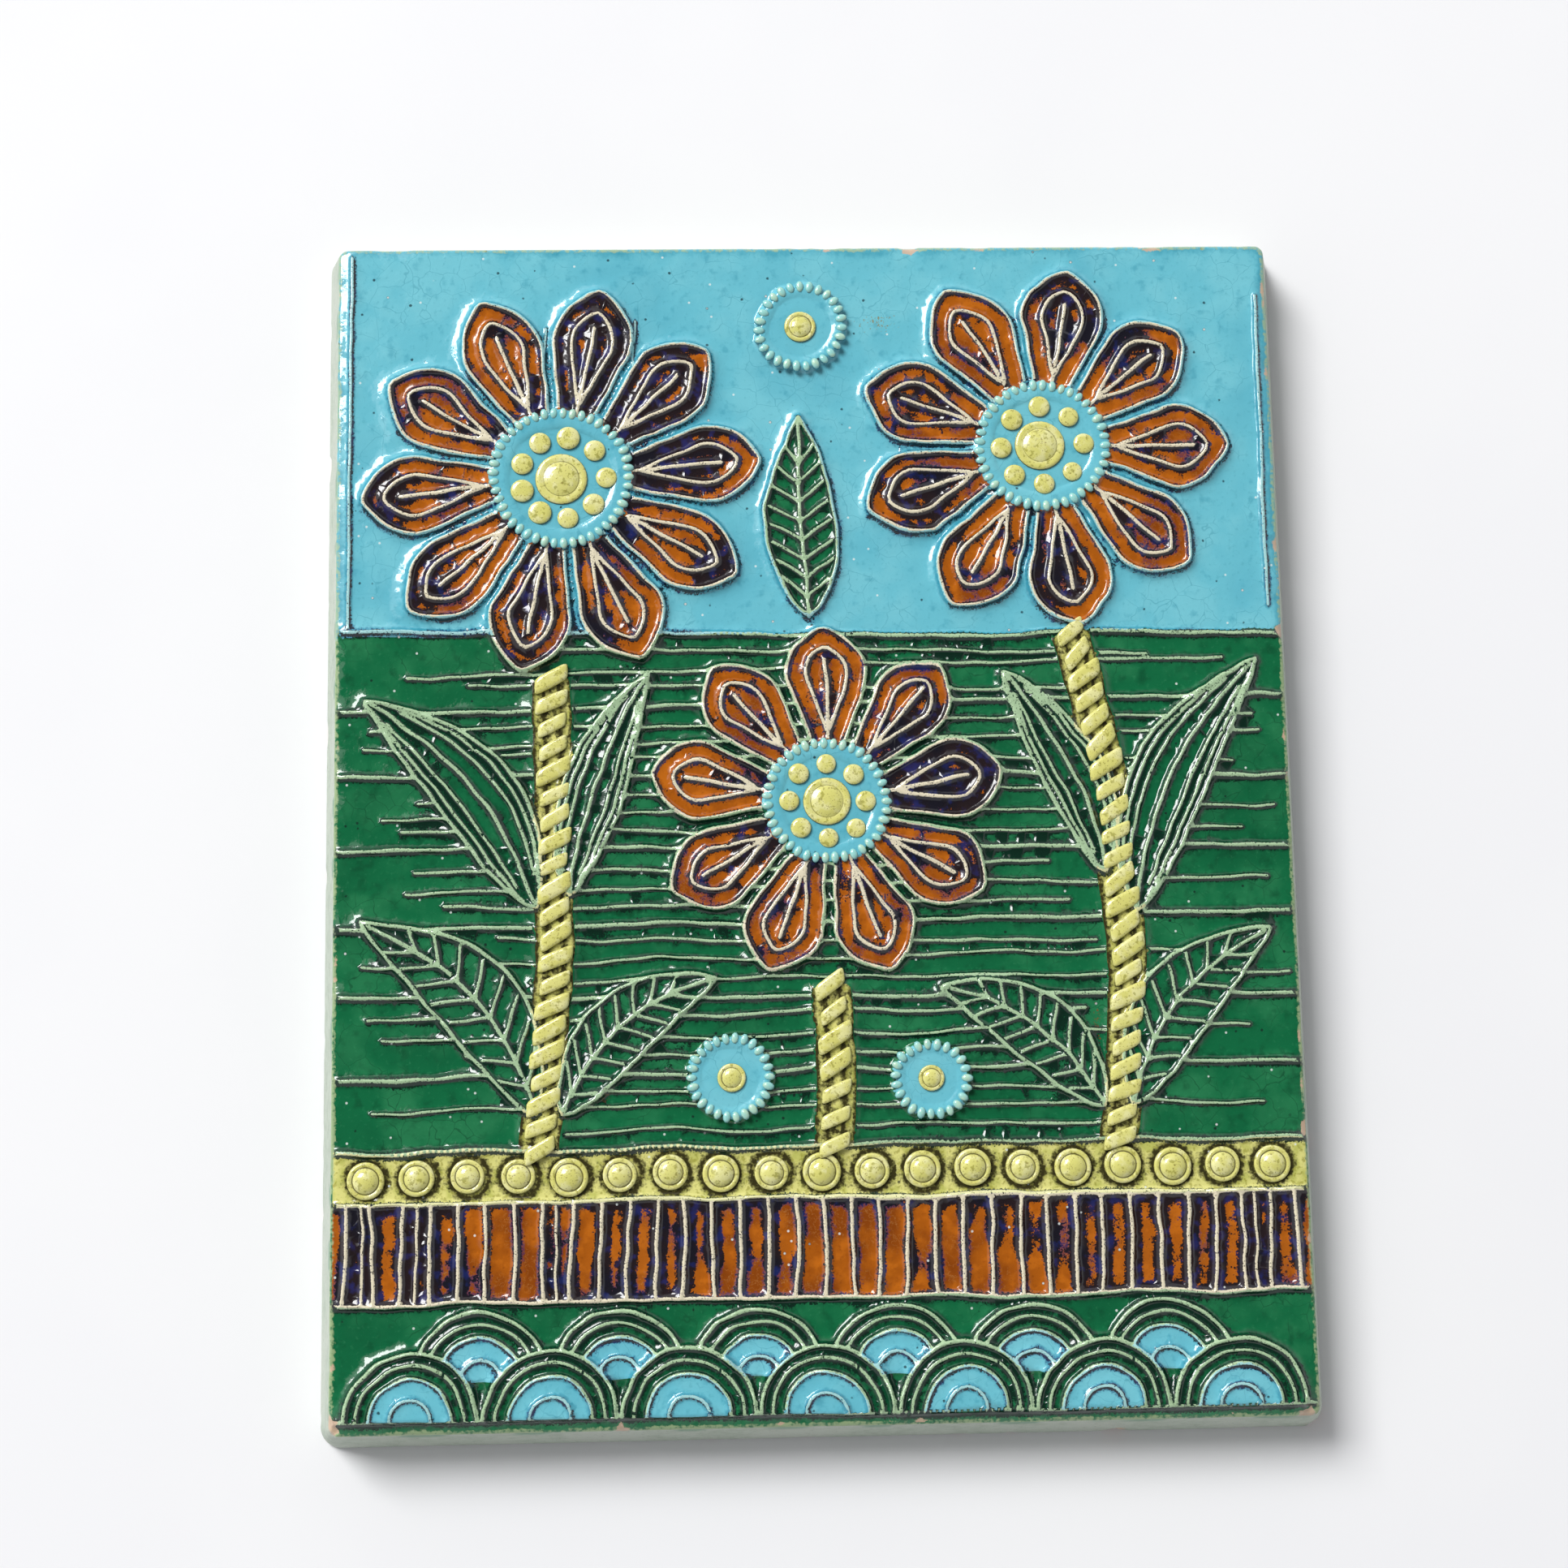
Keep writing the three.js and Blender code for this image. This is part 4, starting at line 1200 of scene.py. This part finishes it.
def bead_glaze(glaze):
    """Cream-yellow majolica glaze: glassy, pale on the crowns, with brown oxide left in the hollows."""
    layers = (
        (linear("#D3CF6A"), "shade", 0.0, 1.0, 0.5),
        (linear("#EFECB2"), 6, 0.45, 0.65, 0.6),
        (glaze["cream_deep"], 2.4, 0.56, 0.66, 0.6),
        (linear("#3A3417"), "groove", 0.25, 0.9, 0.95),
        (linear("#6B4A1E"), 0.9, 0.61, 0.68, 0.6),
    )
    return simple_finish(CREAM_GLAZE, glaze["cream"], layers, roughness=0.09, ior=1.65, relief_mm=0.2)


def rim_bead_glaze(glaze):
    """Thin turquoise majolica glaze on small round knobs: pale on the crowns and deep between them."""
    layers = (
        (linear("#CFE3B9"), 6, 0.45, 0.65, 0.5),
        (glaze["turquoise_deep"], "groove", 0.1, 0.9, 0.9),
    )
    name = "Thin turquoise majolica glaze"
    return simple_finish(name, linear("#9AD6CF"), layers, roughness=0.1, ior=1.62, relief_mm=0.2)


def side_wash(glaze):
    """A matt grey-green wash brushed over pressed clay: uneven, and worn to the clay along the arrises."""
    layers = (
        (linear("#9CA998"), 6, 0.35, 0.7, 0.6),
        (linear("#B9C0B4"), 40, 0.42, 0.62, 0.8),
        (linear("#74836F"), 2.4, 0.6, 0.7, 0.35),
        (linear("#566352"), 0.9, 0.66, 0.72, 0.4),
        (linear("#5C8F70"), "run", 0.2, 1.0, 0.8),
        (glaze["clay"], "worn", 0.2, 0.6, 0.9),
    )
    name = "Matt sage wash on pressed clay"
    return simple_finish(name, glaze["sage"], layers, roughness=0.6, ior=1.5, relief_mm=0.5)


def back_clay(glaze):
    """Bare fired clay: matt, buff and pitted, with grog specks and smears of the wash from the sides."""
    layers = (
        (linear("#B8957A"), 6, 0.4, 0.7, 0.4),
        (linear("#DCC6B0"), 55, 0.4, 0.7, 0.5),
        (linear("#BFA085"), 2.4, 0.5, 0.7, 0.5),
        (linear("#7C5E48"), 0.9, 0.62, 0.68, 0.7),
        (linear("#A9B3A3"), 24, 0.6, 0.7, 0.25),
    )
    name = "Bare buff stoneware clay"
    return simple_finish(name, glaze["clay"], layers, roughness=0.85, ior=1.5, relief_mm=0.6)


def dressed(piece):
    """Ties a finished piece to the plaque's node."""
    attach(piece, "root")
    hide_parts("plaque")


def chip_edges(points, slab):
    """Breaks small chips out of the slab's edges, and returns how far each point was in one."""
    broken = np.zeros(len(points))
    rough = 1 + 0.3 * ripple(points[:, [0, 2]] + points[:, [1, 1]], 3.5, 12)
    for across, up, forward, radius, depth in CHIPS:
        half_x = PLAQUE_HIGH.x / MM - slab["draft"] * forward
        half_z = PLAQUE_HIGH.z / MM - slab["draft"] * forward
        middle = np.array([across * half_x, -forward * slab["thickness"], up * half_z])
        near = np.linalg.norm(points - middle, axis=1) / (radius * rough)
        bite = np.clip(1 - near**2, 0, 1) ** 0.6
        inward = np.array([-across if abs(across) == 1 else 0, 2 * forward - 1, -up if abs(up) == 1 else 0])
        points += (inward / np.linalg.norm(inward)) * (depth * bite * rough)[:, None]
        broken = np.maximum(broken, bite)
    return broken


class PLAQUE_OT_slab(bpy.types.Operator):
    """Builds the slab with its raised lines and fields"""

    bl_idname = "plaque.slab"
    bl_label = "Glazed slab"

    def execute(self, context):
        slab, relief, glaze = all_sizes(context.scene)
        layout = Layout(slab, relief)
        points, triangles, part = slab_surface(layout)
        flat = points[:, [0, 2]]
        shaped = Relief(flat, relief)
        lay_face(shaped, layout)
        margin = np.minimum(layout.width / 2 - abs(flat[:, 0]), layout.height / 2 - abs(flat[:, 1]))
        on_face = part == FACE
        height = np.where(on_face, shaped.height * smooth(0.4, 2.0, margin), 0)
        from_front = points[:, 1] + slab["thickness"]
        round_front = 1 - smooth(0.0, 2.2, np.maximum(from_front, margin - slab["arris"]))
        round_back = smooth(-2.6, -0.6, points[:, 1]) * (part == SIDE)
        run = (1 - smooth(0, 9, from_front)) * smooth(0.1, 0.75, ripple(flat, 17, 9))
        points[on_face, 0], points[on_face, 2] = layout.warp(flat[on_face]).T
        broken = chip_edges(points, slab)
        attributes = {
            "height": height * MM,
            "line": np.where(part < SIDE, shaped.line_distance, 9.0),
            "lean": shaped.lean,
            "moat": shaped.moat_distance,
            "rim": np.where(on_face, margin, -from_front),
            "run": run,
            "zone": shaped.zone,
            "part": part,
            "edge": np.where(part == BACK, 0, np.maximum(round_front, round_back)),
            "broken": broken,
        }
        values = {
            "Relief": 1.0,
            "Softening": relief["softening"],
            "Wave": relief["wave"] * MM,
            "Wave Size": WAVE_SIZE * MM,
            "Chip": slab["chip"] * MM,
            "Seed": float(relief["seed"]),
            "Face Glaze": face_glaze(glaze),
            "Side Wash": side_wash(glaze),
            "Back Clay": back_clay(glaze),
        }
        guide = mesh_object("Slab guide", points, triangles, attributes)
        dressed(grown(guide, relief_tree(), values, "glazed_slab"))
        return {"FINISHED"}


def closed_pad(name, rings, groove, foot):
    """A pad of stacked rings of points, closed by a foot point behind the plane Y = 0 and a crown point at -1."""
    sides = len(rings[0])
    points = np.vstack([*rings, [(0, foot, 0), (0, -1.0, 0)]])
    base, crown, last = len(points) - 2, len(points) - 1, len(points) - 2 - sides
    triangles = []
    for start in range(0, last, sides):
        for i in range(sides):
            a, b = start + i, start + (i + 1) % sides
            triangles += [(a, b, a + sides), (b, b + sides, a + sides)]
    for i in range(sides):
        j = (i + 1) % sides
        triangles += [(base, j, i), (crown, last + i, last + j)]
    return mesh_object(name, points / MM, triangles, {"groove": [*np.repeat(groove, sides), 1.0, 0.0]})


def bead_pad(name, profile, sides=28):
    """A turned bead of unit radius and height with its crown towards -Y, from rings of radius, height and groove."""
    rings = [np.insert(circle(np.zeros(2), radius, sides), 1, -height, axis=1) for radius, height, _ in profile]
    return closed_pad(name, rings, [hollow for *_, hollow in profile], 0.5)


def rope_pad(name, slant=0.95, sides=20, squareness=0.4):
    """A slanting, squarish pad of a rope with a rounded top, its crown towards -Y."""
    rings = []
    for size, height, _ in ROPE_RINGS:
        ring = []
        for angle in np.linspace(0, 2 * math.pi, sides, endpoint=False):
            along, across = (math.copysign(abs(v) ** squareness, v) for v in (math.cos(angle), math.sin(angle)))
            ring.append((size * along - slant * size * across, -height, size * across))
        rings.append(ring)
    return closed_pad(name, rings, [hollow for *_, hollow in ROPE_RINGS], 0.4)


def pads_along(name, path, closed, y, pad, lengths, values):
    """Sets copies of a pad along a path on a plane in front of the wall. Only what it makes is left."""
    guide = bpy.data.meshes.new(name + " path")
    edges = [(i, (i + 1) % len(path)) for i in range(len(path) if closed else len(path) - 1)]
    guide.from_pydata([(x * MM, y * MM, z * MM) for x, z in path], edges, [])
    tree = bpy.data.node_groups.get(PADS_TREE) or pads_tree()
    values = {"Pad": pad, **{label: length * MM for label, length in lengths.items()}, **values}
    made = grown(placed(name + " path", guide), tree, values, name)
    bpy.data.objects.remove(pad)
    return made


class PLAQUE_OT_beads(bpy.types.Operator):
    """Sets the beads of the band and of the flowers' middles"""

    bl_idname = "plaque.beads"
    bl_label = "Beads"

    def execute(self, context):
        slab, relief, glazes = all_sizes(context.scene)
        layout = Layout(slab, relief)
        glaze, rim_glaze = bead_glaze(glazes), rim_bead_glaze(glazes)
        face = -slab["thickness"]
        row, pitch = band_beads(layout)
        # Each job: its name, the pad's rings, the path and whether it closes, its place in depth, the step along it,
        # the pads' radius and height, and their glaze.
        jobs = [("Band bead", BEAD_RINGS, (row, False), face, pitch, relief["bead_radius"], 2.7, glaze)]
        for group, level, button, height, rim in (
            (FLOWERS, relief["heart_level"], 0.13, 1.75, 0.36),
            (ROSETTES, relief["rosette_level"], 0.34, 1.7, 1.0),
        ):
            for motif in group:
                centre, radius = layout.flower(motif)
                foot = face - level + 0.5
                if group is FLOWERS:
                    ring = circle(centre, 0.22 * radius, 8)
                    side = 2 * 0.22 * radius * math.sin(math.pi / 8)
                    jobs.append(("Seed", BUTTON_RINGS, (ring, True), foot, side, 0.055 * radius, 1.3, glaze))
                jobs.append(("Button", BEAD_RINGS, (dot(centre), False), foot, 1.0, button * radius, height, glaze))
                jobs.append(rim_job(centre, rim * radius, face - level, rim_glaze))
        made = []
        for name, rings, (path, closed), y, step, radius, height, finish in jobs:
            knob = finish is rim_glaze
            pad = bead_pad(name + " shape", rings, 10 if knob else 28)
            lengths = {"Pitch": step, "Width": radius * (1.5 if knob else 1), "Length": radius, "Height": height}
            values = {"Unevenness": 0.07, "Seed": relief["seed"] + len(made), "Glaze": finish}
            made.append(pads_along(name, layout.warp(path), closed, y, pad, lengths, values))
        dressed(joined(made, "beads"))
        return {"FINISHED"}


def rim_job(centre, radius, top, finish):
    """The small knobs round a dish, one between each two of its grooves."""
    count = len(rim_angles(radius))
    ring = circle(centre, radius * 0.93, count)
    side = 2 * radius * 0.93 * math.sin(math.pi / count)
    return "Rim knob", KNOB_RINGS, (ring, True), top + 0.35, side, side * 0.42, 1.0, finish


def dot(centre):
    """A path so short that one pad stands on it."""
    return np.array([centre - (0.05, 0), centre + (0.05, 0)])


def joined(pieces, name):
    """The pieces as one object at the origin."""
    with bpy.context.temp_override(
        active_object=pieces[0], object=pieces[0], selected_objects=pieces, selected_editable_objects=pieces
    ):
        bpy.ops.object.join()
    pieces[0].name = name
    return pieces[0]


class PLAQUE_OT_stems(bpy.types.Operator):
    """Twists the rope stems of the flowers"""

    bl_idname = "plaque.stems"
    bl_label = "Twisted stems"

    def execute(self, context):
        slab, relief, glazes = all_sizes(context.scene)
        layout = Layout(slab, relief)
        glaze = bpy.data.materials.get(CREAM_GLAZE) or bead_glaze(glazes)
        pitch = relief["twist_pitch"]
        lengths = {"Pitch": pitch, "Width": relief["stem_width"] / 2 * 0.97, "Length": pitch / 2 * 0.76, "Height": 1.8}
        foot = -slab["thickness"] - relief["stem_level"] + 0.3
        made = []
        for nodes in STEMS:
            path = layout.warp(layout.stem(nodes))
            values = {"Unevenness": 0.12, "Seed": relief["seed"] + len(made), "Glaze": glaze}
            made.append(pads_along("Stem", path, False, foot, rope_pad("Rope pad"), lengths, values))
        dressed(joined(made, "twisted_stems"))
        return {"FINISHED"}


class PLAQUE_OT_stage(bpy.types.Operator):
    """Sets the pale wall, the soft light and the camera"""

    bl_idname = "plaque.stage"
    bl_label = "Wall, light and camera"

    def execute(self, context):
        scene = context.scene
        stage = scene.plaque_stage
        wall = plain_wall(stage, scene.plaque_slab.back_corner / MM)
        lamps = softboxes(stage)
        scene.world = pale_room(stage)
        set_camera(scene, stage)
        scene.view_settings.view_transform = "Standard"
        return {"FINISHED"}


def plain_wall(stage, corner):
    """A wide wall, open behind the plaque and clear from behind, so that the back can be looked at too."""
    rim, shell = rounded_ring(PLAQUE_HIGH.x / MM - 4, PLAQUE_HIGH.z / MM - 4, corner, 20), Shell()
    shell.wall(*(shell.grow(ring, 0.2, BACK) for ring in (rim, rim * WALL_SPREAD)))
    made = mesh_object("Wall", *shell.finished()[:2])
    # Matt white paint, so the wall takes a soft shadow and has no shine, with clouds too faint to draw the eye.
    paint, tree = material("Matt white wall paint")
    clouds = spread(tree, mottles(tree, (220,))[220], 0.4, 0.6, most=0.5)
    colour = laid_over(tree, tuple(stage.wall), ((linear("#F1F1F3"), clouds),))
    back = add(tree, "ShaderNodeNewGeometry").outputs["Backfacing"]
    front = add(tree, "ShaderNodeBsdfDiffuse", {"Color": colour})
    sides = add(tree, "ShaderNodeMixShader", {0: back, 1: front, 2: add(tree, "ShaderNodeBsdfTransparent")})
    add(tree, "ShaderNodeOutputMaterial", {"Surface": sides})
    made.data.materials.append(paint)
    return made


def softboxes(stage):
    """A big soft square light at the upper left with a brighter middle, both turned to the plaque."""
    made = []
    for name, place, size, power in (
        ("Big softbox", (-4.2, -6.1, 4.4), 6.4, stage.key_power),
        ("Softbox core", (-4.3, -6.0, 4.5), 3.9, stage.core_power),
    ):
        lamp = bpy.data.lights.new(name, "AREA")
        lamp.shape, lamp.size, lamp.energy = "SQUARE", size, power
        holder = placed(name, lamp)
        holder.location = place
        holder.rotation_euler = (-Vector(place)).to_track_quat("-Z", "Y").to_euler()
        made.append(holder)
    return made


def pale_room(stage):
    """A world that is pale all round but dim behind the camera, so the flat glaze mirrors little of it."""
    world = bpy.data.worlds.new("Pale room")
    world.use_nodes = True
    tree = world.node_tree
    around = add(tree, "ShaderNodeTexCoord").outputs["Generated"]
    ahead = add(tree, "ShaderNodeVectorMath", {0: around, 1: (0, -1, 0)}, operation="DOT_PRODUCT").outputs["Value"]
    strength = {"Value": ahead, "From Min": 0.9, "From Max": 0.4, "To Min": 0.05, "To Max": stage.world}
    glow = add(tree, "ShaderNodeMapRange", strength, interpolation_type="SMOOTHSTEP")
    seen = add(tree, "ShaderNodeLightPath").outputs["Is Camera Ray"]
    shown = add(tree, "ShaderNodeMix", {0: seen, 2: glow, 3: 0.92}, data_type="FLOAT")
    background = tree.nodes["Background"]
    background.inputs["Color"].default_value = linear("#F6F7FA")
    tree.links.new(shown.outputs[0], background.inputs["Strength"])
    return world


def set_camera(scene, stage):
    """The camera, which sees the face a little off square and from a short way below. Its turn and its place, in face
    widths from the face's centre, were solved from the corners of the face."""
    turn = Vector([math.radians(a) for a in (-9.05, -2.09, -0.90)])
    place = Vector((0.033, 0.033, 2.674)) * FACE_WIDTH
    rotation = Matrix.Rotation(turn.length, 3, turn.normalized())
    to_camera = rotation @ Matrix(((1, 0, 0), (0, 0, -1), (0, 1, 0)))
    right, down, ahead = to_camera
    pose = Matrix((right, -down, -ahead)).transposed().to_4x4()
    pose.translation = Vector((0, -scene.plaque_slab.thickness, 0)) - to_camera.transposed() @ place
    camera = bpy.data.cameras.new("Camera")
    camera.sensor_width = 36
    camera.lens = stage.lens
    camera.clip_start, camera.clip_end = 0.01, 20
    scene.camera = placed("Camera", camera)
    scene.camera.matrix_world = pose


class PLAQUE_PT_panel(bpy.types.Panel):
    bl_label = "Wall plaque"
    bl_idname = "PLAQUE_PT_panel"
    bl_space_type = "VIEW_3D"
    bl_region_type = "UI"
    bl_category = "Plaque"

    def draw(self, context):
        for operator in OPERATORS:
            self.layout.operator(operator.bl_idname)
        for name in SETTINGS:
            group = getattr(context.scene, name)
            box = self.layout.box()
            for prop in group.bl_rna.properties.keys():
                if prop not in ("rna_type", "name"):
                    box.prop(group, prop)


OPERATORS = (PLAQUE_OT_slab, PLAQUE_OT_beads, PLAQUE_OT_stems, PLAQUE_OT_stage)
SETTINGS = {
    "plaque_slab": PlaqueSlab,
    "plaque_relief": PlaqueRelief,
    "plaque_glaze": PlaqueGlaze,
    "plaque_stage": PlaqueStage,
}


def register():
    for group in SETTINGS.values():
        bpy.utils.register_class(group)
    for operator in OPERATORS:
        bpy.utils.register_class(operator)
    bpy.utils.register_class(PLAQUE_PT_panel)
    for name, group in SETTINGS.items():
        setattr(bpy.types.Scene, name, bpy.props.PointerProperty(type=group))


def unregister():
    for name in SETTINGS:
        delattr(bpy.types.Scene, name)
    bpy.utils.unregister_class(PLAQUE_PT_panel)
    for operator in reversed(OPERATORS):
        bpy.utils.unregister_class(operator)
    for group in reversed(SETTINGS.values()):
        bpy.utils.unregister_class(group)


def main():
    register()
    bpy.ops.plaque.slab()
    bpy.ops.plaque.beads()
    bpy.ops.plaque.stems()
    bpy.ops.plaque.stage()
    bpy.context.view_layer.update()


if __name__ == "__main__":
    main()
